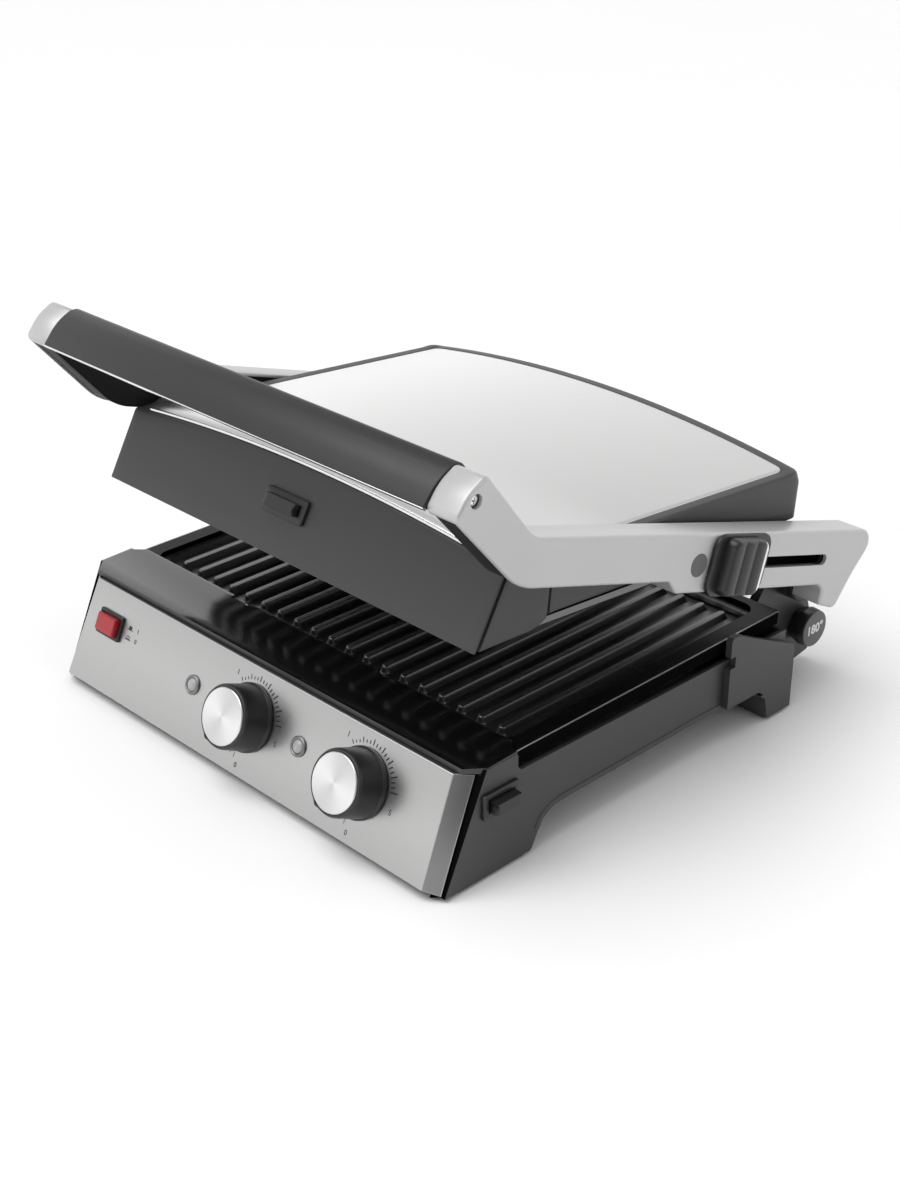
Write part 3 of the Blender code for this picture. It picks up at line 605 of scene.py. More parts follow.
def polished(name, colour, roughness):
    """Plated metal with faint wiping marks."""
    made = Finish(name, colour, roughness, metallic=1.0)
    marks = made.noise(made.places((300.0, 40.0, 300.0)), 1.0, 2.0)
    made.shade(marks, 0.04)
    made.feed("Roughness", roughness + marks * 0.06)
    return made.material


def clear_red(name, colour, roughness, coat_weight):
    """Glossy translucent moulding, darker where it is thick."""
    made = Finish(name, colour, roughness, coat_weight=coat_weight)
    cloud = made.noise(made.places(), 260.0, 2.0)
    made.shade(cloud, 0.15)
    made.feed("Roughness", roughness + cloud * 0.05)
    return made.material


def all_finishes(look):
    """Every finish by name, from the colours set in the panel."""
    knob_turn = (math.radians(PANEL_TURN), 0.0, 0.0)
    made = {
        "satin": moulded("satin_black", look.casing, 0.42),
        "lid": moulded("lid_black", look.lid, 0.46),
        "gloss": piano_gloss("gloss_black", look.apron, 0.09, 1.0, 1.0),
        "rail": piano_gloss("rail_black", look.apron, 0.20, 0.14, 0.0),
        # Black without any reflection: painted shade, for the cheeks' front recesses and the rails' sides.
        "recess": piano_gloss("painted_shade_black", look.apron, 0.5, 0.0, 0.0),
        "black": moulded("knob_black", look.knob, 0.34),
        "dark": moulded("inner_black", (0.012, 0.012, 0.0125), 0.5),
        "liner": piano_gloss("liner_black", (0.013, 0.013, 0.0135), 0.5, 0.12, 0.0),
        "grip": moulded("grip_black", look.grip, 0.40, 0.00001),
        "grey": moulded("cap_grey", (0.11, 0.11, 0.112), 0.5),
        "silver": lacquered_casting("silver_lacquer", look.arms, 0.36, 0.35),
        "panel": brushed("panel_steel", look.steel, 0.34),
        # Darker steel for the panel's folded ends: painted shade, for the dark they reflect.
        "flap_painted_shade": brushed("flap_steel_painted_shade", look.flap_painted_shade, 0.38),
        "cover": brushed("cover_steel", look.cover, 0.24, (5.0, 1700.0, 1700.0), 0.02, 0.000001),
        "element": brushed("element_steel", (0.33, 0.31, 0.29), 0.38, (900.0, 30.0, 900.0), 0.15),
        "bright": polished("bright_metal", (0.80, 0.80, 0.80), 0.12),
        "cast": coated_casting("cast_coated", look.plate, 0.30),
        "ceramic": moulded("ceramic", (0.72, 0.70, 0.65), 0.6, 0.00003),
        "rubber": moulded("rubber", (0.02, 0.02, 0.02), 0.8, 0.00006),
        "red": clear_red("switch_red", look.switch, 0.26, 0.2),
        "lamp": clear_red("lamp_clear", (0.36, 0.365, 0.37), 0.30, 0.3),
        "lamp_ring": polished("lamp_ring", (0.24, 0.24, 0.24), 0.42),
        "ink": moulded("printed_ink", (0.02, 0.02, 0.021), 0.5, 0.0),
        "white_ink": moulded("printed_white", (0.75, 0.75, 0.75), 0.5, 0.0),
    }
    for side, _ in SIDES:
        made["cap_" + side] = turned_metal_painted_sheen(f"turned_cap_painted_sheen_{side}", (0.70, 0.70, 0.70), 0.28,
                                           tuple(KNOBS[side][:3, 3]), knob_turn)
    return made


FINISHES = {}


def look():
    """The colours set in the panel."""
    return bpy.context.scene.press_look


def finish(name):
    """A finish by name; all are made when the first is asked for."""
    if not FINISHES:
        FINISHES.update(all_finishes(look()))
    return FINISHES[name]


# ---- settings --------------------------------------------------------------------------------------------
def colour_setting(name, description, value):
    return FloatVectorProperty(name=name, description=description, subtype="COLOR", size=3, min=0.0, max=1.0,
                               default=value)


class PressSizes(PropertyGroup):
    """Sizes that a user would change."""
    edge: FloatProperty(name="Arm edge", description="Rounding of the arms' outer edges, mm",
                        default=1.9, min=0.2, max=2.8)
    rib_count: IntProperty(name="Ribs", description="Ribs on each plate", default=19, min=5, max=25)
    rib_pitch: FloatProperty(name="Rib pitch", description="Distance between ribs, mm", default=15.0, min=8.0)
    tick_count: IntProperty(name="Dial ticks", description="Ticks in each temperature scale", default=19,
                            min=5)


class PressLook(PropertyGroup):
    """Colours that a user would change."""
    casing: colour_setting("Casing", "Base casing and brackets", (0.039, 0.039, 0.040))
    lid: colour_setting("Lid", "Lid casing", (0.038, 0.038, 0.039))
    apron: colour_setting("Apron", "Polished frame round the lower plate", (0.004, 0.004, 0.0045))
    knob: colour_setting("Knobs", "Knobs, buttons and slider", (0.014, 0.014, 0.015))
    grip: colour_setting("Grip", "Handle grip", (0.013, 0.013, 0.0135))
    arms: colour_setting("Arms", "Silver lacquer of the arms", (0.51, 0.51, 0.51))
    steel: colour_setting("Panel steel", "Brushed steel of the control panel", (0.48, 0.48, 0.477))
    # A darker copy of the panel steel for its folded ends: painted shade.
    flap_painted_shade: colour_setting("Flap steel", "Steel of the panel's folded ends", (0.26, 0.26, 0.26))
    cover: colour_setting("Cover steel", "Steel of the lid cover", (0.76, 0.76, 0.757))
    plate: colour_setting("Plates", "Non-stick coating", (0.016, 0.016, 0.0165))
    switch: colour_setting("Switch", "Power switch cap", (0.34, 0.006, 0.012))


# ---- base ------------------------------------------------------------------------------------------------
class PRESS_OT_casing(Operator):
    """Base casing, brackets, supports and feet"""
    bl_idname = "press.casing"
    bl_label = "Casing"

    def execute(self, context):
        tub = eased("base_tub", finish("satin"), 0.7, 3)
        # The cheeks' front recess faces get painted shade: the apron's black without reflection.
        tint(tub, lambda at, facing:
             (np.abs(at[:, 0]) > 0.152) & (facing[:, 1] < -0.5) & (at[:, 2] < 0.064), finish("recess"))
        lip = [(-100.4, 12.4, 0.5), (-97.4, 18.1, 5), (-90.6, 22.0, 6), (-84.3, 23.0, 6), (49.5, 23.2, 0.3),
               (49.5, 26.6, 0.3), (-85.4, 26.4, 9), (-93.0, 25.0, 9), (-100.6, 20.2, 8), (-103.6, 14.0, 0.5)]
        for side, sign in SIDES:
            moulding = slab(lip, BODY_HALF - 1.0, BODY_HALF + 0.5, 0.45)
            piece(f"cheek_lip_{side}", flipped(moulding, sign), BASE, finish("satin"), "base")
        eased("bottom_cover", finish("satin"), 0.3)
        eased("rear_cover", finish("satin"), 0.6, 3)
        eased("cord_gland", finish("black"), 0.4)
        for side, _ in SIDES:
            eased(f"rear_bracket_{side}", finish("satin"), 0.5, 3)
            eased(f"hinge_support_{side}", finish("satin"), 0.6, 3)
            for end in ("front", "rear"):
                eased(f"foot_pad_{end}_{side}", finish("rubber"), 0.5, 3)
        return {"FINISHED"}


class PRESS_OT_apron(Operator):
    """Frame round the lower plate: the polished apron in front and the rails beside and behind it"""
    bl_idname = "press.apron"
    bl_label = "Apron and rails"

    def execute(self, context):
        front, reach, deep = -147.6, BODY_HALF - 0.4, FRAME_TOP - 4.4
        hole = rectangle(-150.5, 150.5, PLATE_FRONT - 0.5, PLATE_BACK + 0.5, 9.5)
        opening = slab(hole, 40, 90, 0.1, "z", 8)
        section = [(front, deep, 0.3), (front, FRAME_TOP - 1.4, 0.25), (-112.8, FRAME_TOP, 0.05),
                   (-111.2, FRAME_TOP, 0.25), (-111.2, deep, 0.3)]
        cutters = [opening]
        for _, sign in SIDES:
            corner = np.array([(151.4, -152.0, 0.05), (170.0, -152.0, 0.05), (170.0, -131.2, 0.05)])
            behind = np.array([(FRAME_HALF + 0.1, -117.0, 0.05), (170.0, -117.0, 0.05),
                               (170.0, -100.0, 0.05), (FRAME_HALF - 8.0, -110.0, 0.05)])
            for plan in (corner, behind):
                cutters.append(slab(plan * np.array([sign, 1, 1]), 40, 90, 0.01, "z", 1))
            notch = block(sign * LATCH_X, -109.6, 8.0, 4.6, 0.6)
            cutters.append(slab(notch, 60.0, 90, 0.1, "z", 3))
        made = piece("apron", slab(section, -reach, reach, 0.6, "x", 6), BASE, finish("gloss"), "base",
                     ["top_frame"], 30, cutters)
        tint(made, lambda at, facing: (facing[:, 2] < 0.6) & (facing[:, 1] < 0.5), finish("satin"))
        plan = rectangle(-FRAME_HALF, FRAME_HALF, -117.2, FRAME_BACK, 2.0)
        rails = piece("frame_rails", slab(plan, 56.5, RAIL_TOP, 0.6, "z", 4), BASE, finish("rail"), "base",
                      cutters=[opening])
        # The rails' side faces get painted shade: no reflection at all.
        tint(rails, lambda at, facing: (np.abs(facing[:, 0]) > 0.9), finish("recess"))
        # A thin silver strip along each rail's top outer edge: a painted highlight on the glossy black edge.
        for side, sign in SIDES:
            line = slab(rectangle(-116.8, FRAME_BACK - 1.0, RAIL_TOP - 0.6, RAIL_TOP + 0.1, 0.2),
                        FRAME_HALF - 0.8, FRAME_HALF + 0.05, 0.2, "x", 2)
            piece(f"rail_painted_highlight_{side}", flipped(line, sign), BASE, finish("silver"), "base")
        return {"FINISHED"}


class PRESS_OT_panel(Operator):
    """Bent steel control panel: its section, folded back at both ends, carried up the slope"""
    bl_idname = "press.panel"
    bl_label = "Control panel"

    def execute(self, context):
        rings = []
        for inset, up in soft_profile(-1.4, PANEL_TALL, 0.35, 2):
            half = PANEL_LOW + (PANEL_HIGH - PANEL_LOW) * up / PANEL_TALL
            front = [(-half - FLAP_OUT, -FLAP_BACK, 0.6), (-half, 0, 1.8), (half, 0, 1.8),
                     (half + FLAP_OUT, -FLAP_BACK, 0.6)]
            back = [(half + 7.63, -7.99, 0.4), (half - 0.5, -1.2, 0.7), (0.5 - half, -1.2, 0.7),
                    (-half - 7.63, -7.99, 0.4)]
            ring = arcs(front + back, 4, min(inset, 0.4))
            rise = up - 0.4 * ring[:, 1] * max(up, 0) / PANEL_TALL
            rings.append(np.stack([ring[:, 0], rise, ring[:, 1]], 1))
        made = piece("control_panel_sheet", skin(np.array(rings)), PANEL, finish("panel"), "base",
                     ["control_panel"])
        # Faces of the folded ends get the darker steel: painted shade, for the dark they reflect.
        sideways = FLAP_BACK / math.hypot(FLAP_OUT, FLAP_BACK)
        tint(made, lambda at, facing: (np.abs(np.abs(facing[:, 0]) - sideways) < 0.02) & (facing[:, 1] < 0),
             finish("flap_painted_shade"))
        return {"FINISHED"}


def tick(angle, inner, outer, wide, at):
    """A thin printed bar that points at a dial's centre; angle 0 is straight up, clockwise."""
    turn = math.pi / 2 - angle
    along = np.array([math.cos(turn), math.sin(turn)])
    aside = np.array([-along[1], along[0]]) * wide / 2
    flat = np.array([along * inner - aside, along * outer - aside,
                     along * outer + aside, along * inner + aside])
    rings = [np.column_stack([flat + np.array(at), np.full(4, height)]) for height in INK]
    return skin(np.array(rings))


def printed(name, text, size, at, place, material, body, weight=0.0, raised=0.08):
    """Flat printed numerals, centred on a point of a surface; weight thickens their strokes."""
    curve = bpy.data.curves.new(name, "FONT")
    curve.body = text
    curve.size = size
    curve.extrude = raised / 2
    curve.offset = weight
    curve.align_x = "CENTER"
    curve.align_y = "CENTER"
    curve.resolution_u = 3
    holder = bpy.data.objects.new(name, curve)
    bpy.context.scene.collection.objects.link(holder)
    bpy.context.view_layer.update()
    mesh = bpy.data.meshes.new_from_object(holder.evaluated_get(bpy.context.evaluated_depsgraph_get()))
    bpy.data.objects.remove(holder)
    mesh.transform(Matrix(place.tolist()) @ Matrix.Translation(at))
    made = add_piece(name, mesh, body, ())
    finish_mesh(mesh, material, 30.0)
    return made


class PRESS_OT_marks(Operator):
    """Printed scales round the knobs, and the marks beside the switch"""
    bl_idname = "press.marks"
    bl_label = "Printed marks"

    def execute(self, context):
        count = context.scene.press_sizes.tick_count
        for side, _ in SIDES:
            at = (KNOB_X[side], CONTROL_UP)
            scale = []
            for k in range(count):
                share = k / (count - 1)
                angle = math.radians(-38 + 118 * share)
                long = (2.4 + 2.6 * share) * (1.0 if k % 3 == 0 else 0.6)
                scale.append(tick(angle, 21.2, 21.2 + long, 0.5 + 0.35 * share, at))
            for k in range(4):
                scale.append(tick(math.radians(188 + 8 * k), 21.6, 24.6 - 0.5 * k, 0.35, at))
            piece(f"dial_scale_{side}", together(*scale), PANEL, finish("ink"), "base")
            for text, angle, far in (("1", -42, 27.0), ("5", 104, 25.5), ("0", 180, 28.0)):
                turn = math.radians(90 - angle)
                x, y = at[0] + far * math.cos(turn), at[1] + far * math.sin(turn)
                printed(f"dial_number_{side}_{text}", text, 4.4, (x, y, 0.05), PANEL, finish("ink"), "base")
        x, up = SWITCH_AT
        low, high = INK
        marks = []
        for row in (4.2, -1.8):
            left, right = x + 15.0, x + 20.4
            bar = rectangle(left, right, up + row - 1.6, up + row - 1.1, 0.05)
            marks.append(slab(bar, low, high, 0.02, "z", 1))
            hump = rectangle(left + 1.2, right - 1.2, up + row - 1.1, up + row + 0.9, 0.6)
            if row > 0:
                marks.append(slab(hump, low, high, 0.02, "z", 2))
            else:
                marks.append(carry(hump, [(0, low), (0, high), (0.45, high), (0.45, low)], "z", 2, True))
        piece("switch_marks", together(*marks), PANEL, finish("ink"), "base")
        for text, row in (("I", 4.0), ("0", -2.2)):
            printed(f"switch_number_{text}", text, 4.0, (x + 25.0, up + row, 0.05), PANEL, finish("ink"),
                    "base")
        return {"FINISHED"}


class PRESS_OT_controls(Operator):
    """Power switch, indicator lamps and the two thermostat knobs"""
    bl_idname = "press.controls"
    bl_label = "Switch, lamps and knobs"

    def execute(self, context):
        x, up = SWITCH_AT
        rim = [(0, 0.3), (0, 1.3), (0.5, 1.8), (1.7, 1.8), (2.0, 1.5), (2.0, -6.0), (1.2, -6.0), (1.2, 0.3)]
        frame_ring = carry(block(x, up, 11, 7.8, 1.2), rim, "z", 4, True)
        floor = slab(block(x, up, 9.4, 6.2, 0.6), -7.0, -5.8, 0.2, "z", 2)
        piece("switch_bezel", together(frame_ring, floor), PANEL, finish("black"), "base", ["switch_housing"])
        cap = slab(block(x, up, 8.6, 5.4, 0.9), -2.2, 5.2, 0.9, "z", 4)
        piece("power_cap", cap, PANEL, finish("red"), "power_switch", ["power_button"])
        for side, _ in SIDES:
            self.lamp(side)
            self.knob(side)
        return {"FINISHED"}

    def lamp(self, side):
        at = (LAMP_X[side], CONTROL_UP, 0.0)
        dome = [(0.2, -6, 0), (2.8, -6, 0), (2.8, 0.3, 0), (3.9, 0.3, 0.1), (3.7, 1.0, 0.5), (2.0, 1.9, 1.6),
                (0.2, 2.2, 0)]
        piece(f"lamp_dome_{side}", lathe(dome, "z", at, 40), PANEL, finish("lamp"), "base",
              [f"lamp_lens_{side}"])
        ring = [(4.0, 0.2, 0), (5.8, 0.2, 0.1), (5.8, 0.8, 0.3), (5.0, 1.6, 0.5), (4.0, 1.1, 0.2)]
        piece(f"lamp_bezel_{side}", lathe(ring, "z", at, 48, True), PANEL, finish("lamp_ring"), "base",
              [f"lamp_ring_{side}"])

    def knob(self, side):
        body = f"knob_{side}"
        skirt = [(4.0, 0.9, 0), (19.6, 0.9, 0.3), (19.6, 2.4, 0.5), (18.7, 3.3, 0.6), (18.1, 18.3, 0.4),
                 (17.4, 19.5, 0.5), (16.3, 19.5, 0.1), (16.3, 18.9, 0), (4.0, 18.9, 0)]

        def pointer(angle):
            away = np.angle(np.exp(1j * (angle - math.radians(240))))
            return 1.0 + 0.055 * np.exp(-(away / 0.10) ** 2)

        piece(f"knob_body_{side}", lathe(skirt, sides=144, lobes=pointer), KNOBS[side], finish("black"), body,
              [f"thermostat_knob_{side}"])
        disc = [(2.0, 19.0, 0), (16.1, 19.0, 0), (16.1, 19.9, 0.3), (15.6, 20.4, 0.3), (2.0, 20.4, 0)]
        piece(f"knob_disc_{side}", lathe(disc, sides=96), KNOBS[side], finish("cap_" + side), body,
              [f"knob_cap_{side}"])
        coat(f"thermostat_shaft_{side}", finish("element"))


class PRESS_OT_lower_plate(Operator):
    """Ribbed lower plate in its rim: height is the floor, plus a rib where a point is near a rib's
    middle line, plus the rim near the border"""
    bl_idname = "press.lower_plate"
    bl_label = "Lower plate"

    def execute(self, context):
        shape = ribbed_plate(150.0, PLATE_FRONT, PLATE_BACK, RIB_TOP - RIB_TALL, 1, 4.9)
        piece("lower_grill", shape, BASE, finish("cast"), "base", ["lower_plate"], 40)
        for side, sign in SIDES:
            left = sign * LATCH_X + 1.0
            catch = rectangle(left, left + 5.0, PLATE_FRONT - 3.6, PLATE_FRONT - 0.8, 0.8)
            piece(f"plate_latch_{side}", slab(catch, 62.2, 65.0, 0.5, "z"), BASE, finish("bright"), "base")
        return {"FINISHED"}


def ribbed_plate(half, front, back, floor, sign, rim):
    """A plate's ribbed face over its flat back. sign is +1 for ribs that point up."""
    sizes = bpy.context.scene.press_sizes
    middles = (np.arange(sizes.rib_count) - (sizes.rib_count - 1) / 2) * sizes.rib_pitch
    across = np.array([-3.6, -3.2, -2.9, -2.5, -2.1, -1.8, -1.4, -0.7, 0.0])
    across = np.concatenate([across, -across[:-1][::-1]])
    edges = np.array([0.0, 0.25, 0.6, 1.0, 1.6, 2.2, 2.8, 3.4, 4.0])
    a = np.unique(np.round(np.concatenate([(middles[:, None] + across).ravel(), edges - half,
                                           half - edges]), 3))
    ends = np.concatenate([edges, np.arange(9.0, 17.0, 0.5)])
    between = np.linspace(front + 18, back - 18, 24)
    b = np.unique(np.round(np.concatenate([front + ends, between, back - ends]), 3))
    x, y, edge = rounded_grid(a, b, 8.0)
    outermost = sizes.rib_count // 2
    nearest = np.round(x / sizes.rib_pitch).clip(-outermost, outermost) * sizes.rib_pitch
    past = np.maximum(np.maximum(front + 13.0 - y, y - back + 13.0), 0.0)
    away = np.hypot(x - nearest, past)
    rib = RIB_TALL * smooth_step((3.4 - away) / 1.7)
    lip = rim * smooth_step((3.6 - edge) / 1.8) - 1.0 * smooth_step((1.0 - edge) / 1.0) ** 2
    height = floor + sign * (np.maximum(rib, lip) if rim else rib - 0.8 * smooth_step((0.8 - edge) / 0.8))
    bottom = np.full_like(height, floor - sign * 4.5)
    return two_sided(np.stack([x, y, height], -1), np.stack([x, y, bottom], -1))


def slot_block(a, b, low, high, bite):
    """A button with its two ends hollowed out for a fingertip."""
    along = np.linspace(-1, 1, 9)
    right = np.stack([a - bite * (1 - along ** 2), along * b], 1)
    left = -right
    outline = np.concatenate([right, left])
    rings = [np.column_stack([outline * shrink, np.full(len(outline), height)])
             for shrink, height in ((0.93, low), (1.0, low + 0.5), (1.0, high - 0.8), (0.985, high - 0.3),
                                    (0.95, high), (0.92, high))]
    return np.array(rings)


def bezel_ring(half_a, half_b, low, high, opening, axis):
    """A raised frame with rounded edges round a button's opening."""
    thick = half_a - opening
    profile = [(0, low), (0, high - 0.5), (0.15, high - 0.15), (0.5, high), (thick - 0.3, high),
               (thick, high - 0.3), (thick, low - 4.0), (thick - 0.8, low - 4.0), (thick - 0.8, low)]
    return carry(block(0.0, 0.0, half_a, half_b, 1.8), profile, axis, 5, True)


class PRESS_OT_side_button(Operator):
    """Button in the right cheek that releases the lower plate"""
    bl_idname = "press.side_button"
    bl_label = "Side button"

    def execute(self, context):
        place = shifted(BASE, BODY_HALF, *SIDE_BUTTON)
        piece("side_bezel", bezel_ring(13.0, 7.5, 0.3, 2.0, 9.3, "x"), place, finish("black"), "base",
              ["side_button_bezel"])
        rings = slot_block(8.8, 3.3, -8.0, 7.4, 1.6)
        piece("side_push", skin(facing(rings, "x")), place, finish("black"), "side_release", ["side_button"])
        return {"FINISHED"}


class PRESS_OT_release(Operator):
    """Release knob for flat opening: a lobed hub, its face disc and the generic angle on it"""
    bl_idname = "press.release"
    bl_label = "Release knob"

    def execute(self, context):
        def lobed(angle):
            return 1.0 - 0.10 * np.abs(np.sin(angle * 3)) ** 1.5

        hub = [(3.0, -5.5, 0), (4.0, -5.5, 0), (4.0, -5.3, 0), (10.4, -5.2, 0.5), (12.2, 0.0, 0.6),
               (11.8, 5.3, 0.6), (3.0, 5.4, 0)]
        piece("release_hub", lathe(hub, "x", sides=96, lobes=lobed), RELEASE, finish("black"), "release",
              ["release_knob"])
        face = [(0.5, 5.5, 0), (10.9, 5.5, 0.2), (11.7, 6.0, 0.3), (11.3, 6.7, 0.4), (0.5, 6.7, 0)]
        piece("release_face", lathe(face, "x", sides=64), RELEASE, finish("grey"), "release",
              ["release_knob_cap"])
        quarter = math.pi / 2
        upright = Matrix.Rotation(quarter, 4, "Z") @ Matrix.Rotation(quarter, 4, "X")
        printed("release_number", "180°", 8.4, (0, 0, 6.72), RELEASE @ np.array(upright),
                finish("white_ink"), "release", 0.28)
        return {"FINISHED"}


# ---- lid -------------------------------------------------------------------------------------------------
def crown(x, y):
    """Height of the steel cover over the lid's pivot: an arch across the press, flatter at the front."""
    side = np.clip(x / COVER_HALF, -1, 1) ** 2
    return COVER_EDGE + COVER_CROWN * (1 - side) + COVER_LIFT * side * smooth_step((-30.0 - y) / 80.0)


def skirt(y):
    """Lower edge of the lid's sides: a deep front part, an S-shaped rise, then a slow climb to the back."""
    rise = smooth_step((y + 102.0) / 15.0)
    return -18.6 + 1.4 * np.clip((y + 144) / 40, 0, 1) + 6.0 * rise + 3.2 * np.clip((y + 87) / 209, 0, 1)


def shell_ring(inset):
    """One ring of the lid's casing: its plan outline shrunk towards the middle. A groove parts the front
    panel from each side, and a narrow seam parts the side's deep front from its shallow rear."""
    seams = [(LID_HALF, -142.9, 0.2), (LID_HALF - 4.0, -142.6, 0.1), (LID_HALF - 4.0, -140.2, 0.1),
             (LID_HALF - 0.3, -139.6, 0.4), (LID_HALF - 0.3, -92.6, 0.2), (LID_HALF - 3.0, -92.2, 0.1),
             (LID_HALF - 3.0, -90.4, 0.1), (LID_HALF - 0.8, -89.8, 0.2)]
    corners = [(-LID_HALF, -143.9, 0.6), (LID_HALF, -143.9, 0.6), *seams, (LID_HALF - 0.8, 122.3, 7),
               (0.8 - LID_HALF, 122.3, 7), *[(-x, y, r) for x, y, r in seams[::-1]]]
    centre = np.array([0.0, -10.0])
    half = np.array([LID_HALF, 133.1])
    return centre + (arcs(corners, 4) - centre) * (1 - inset / half)


def rolled(edge, radius):
    """Drop of a sheet at a distance from its border, which is rolled down on a quarter circle."""
    depth = np.clip(radius - edge, 0, radius)
    return radius - np.sqrt(radius ** 2 - depth ** 2)


class PRESS_OT_lid(Operator):
    """Lid casing, crowned steel cover, liner, pivot pins and the button on the front face"""
    bl_idname = "press.lid"
    bl_label = "Lid"

    def execute(self, context):
        self.casing()
        self.cover()
        self.button()
        eased("lid_liner", finish("dark"), 0.4)
        for side, _ in SIDES:
            eased(f"lid_pivot_pin_{side}", finish("grey"), 0.3, 3)
        return {"FINISHED"}

    def casing(self):
        """Rings round the plan outline: up the inner wall, round the skirt, up the outside, over the
        shoulder and down into the bed of the cover."""
        # inset, share of the way from the skirt up to the shoulder, lift
        levels = [(5.0, 0.0, 12.0), (5.0, 0.0, 0.0), (0.7, 0.0, 0.0), (0.2, 0.0, 0.2), (0.0, 0.0, 0.7)]
        levels += [(0.0, part, 0.0) for part in (0.25, 0.5, 0.75)]
        levels += [(0.0, 1.0, -1.7), (0.1, 1.0, -1.1), (0.4, 1.0, -0.5), (0.9, 1.0, -0.1), (1.5, 1.0, 0.0),
                   (6.7, 1.0, 0.0), (7.1, 1.0, -0.4), (7.1, 1.0, -3.0), (9.0, 1.0, -3.0)]
        plan = np.array([shell_ring(inset) for inset, _, _ in levels])
        plan = refined(np.concatenate([plan, np.zeros((*plan.shape[:2], 1))], -1), 5.0)
        x, y = plan[..., 0], plan[..., 1]
        _, level, lift = np.array(levels).T[:, :, None]
        front = smooth_step((-118.0 - y) / 14.0)
        rear = smooth_step((y - 108.0) / 8.0)
        top = crown(x, y) + 0.1 - 3.3 * front + 0.5 * rear
        z = skirt(y) * (1 - level) + top * level + lift
        lean = (z - FACE_LOW[1]) * (FACE_HIGH[0] - FACE_LOW[0]) / (FACE_HIGH[1] - FACE_LOW[1])
        y = y + lean * np.clip((-90.0 - y) / 50.0, 0, 1)
        y = y - 3.4 * np.clip((z - 14.0) / 6.0, 0, 1) * smooth_step((y - 90) / 20)
        shape = skin(np.stack([x, y, z], -1))
        points, faces = slab(block(*LID_BUTTON, 14.2, 4.7, 1), -16, 12, 0.1, "z", 2)
        inward = LID_FRONT @ np.vstack([points.T, np.ones(len(points))])
        hole = ((np.linalg.inv(LID) @ inward)[:3].T, faces)
        piece("lid_casing", shape, LID, finish("lid"), "lid", ["lid_shell"], 34, [hole])

    def cover(self):
        """Steel sheet: an arch across the press whose border rolls down on a quarter circle, which is
        larger along the front."""
        a = graded(-COVER_HALF, COVER_HALF, 2.2, 2.2, 6.0)
        b = graded(-123.4, 113.2, 5.6, 2.2, 12.0)
        x, y, edge = rounded_grid(a, b, 5.0)
        nose = y - y.min(axis=1, keepdims=True)
        drop = np.maximum(rolled(edge, 2.2), rolled(nose, 5.6) * 0.45)
        z = crown(x, y) + 0.25 - drop * 0.8
        y = y + 0.8 * smooth_step((-118.0 - y) / 5.0) * (z - 28.0) / 4.0
        top = np.stack([x, y, z], -1)
        bottom = top - np.array([0.0, 0.0, 1.0])
        piece("lid_steel", two_sided(top, bottom), LID, finish("cover"), "lid", ["lid_cover"],
              50)

    def button(self):
        place = shifted(LID_FRONT, *LID_BUTTON)
        piece("lid_bezel", bezel_ring(17.0, 7.0, 0.3, 2.2, 12.7, "z"), place, finish("black"), "lid",
              ["lid_button_bezel"])
        rings = slot_block(12.3, 3.4, -8.0, 6.0, 1.4)
        piece("lid_push", skin(rings), place, finish("black"), "lid_release", ["lid_button"])


class PRESS_OT_upper_plate(Operator):
    """Ribbed upper plate, its ribs pointing down"""
    bl_idname = "press.upper_plate"
    bl_label = "Upper plate"

    def execute(self, context):
        shift = PLATE_FRONT + 1.8
        crest = RIB_TOP + 0.5 - (HINGE_AT.z / MM + 17.0)
        shape = ribbed_plate(143.0, shift, shift + PLATE_BACK - PLATE_FRONT, crest + RIB_TALL, -1, 0.0)
        piece("upper_grill", shape, LID, finish("cast"), "lid", ["upper_plate"], 40)
        return {"FINISHED"}


# ---- arms ------------------------------------------------------------------------------------------------
def cross_recess(at, axis, depth, reach):
    """Two crossed cutters with tapered wings."""
    thin = 0.55
    wings = []
    for turn in (0.0, math.pi / 2):
        wing = np.array([(-reach, -thin), (reach, -thin), (reach, thin), (-reach, thin)])
        spin = np.array([[math.cos(turn), math.sin(turn)], [-math.sin(turn), math.cos(turn)]])
        rings = [np.column_stack([wing @ spin * scale, np.full(4, height)])
                 for scale, height in ((0.45, -depth), (1.0, 0.6))]
        points, faces = skin(facing(np.array(rings), axis))
        wings.append((points + np.array(at), faces))
    return wings


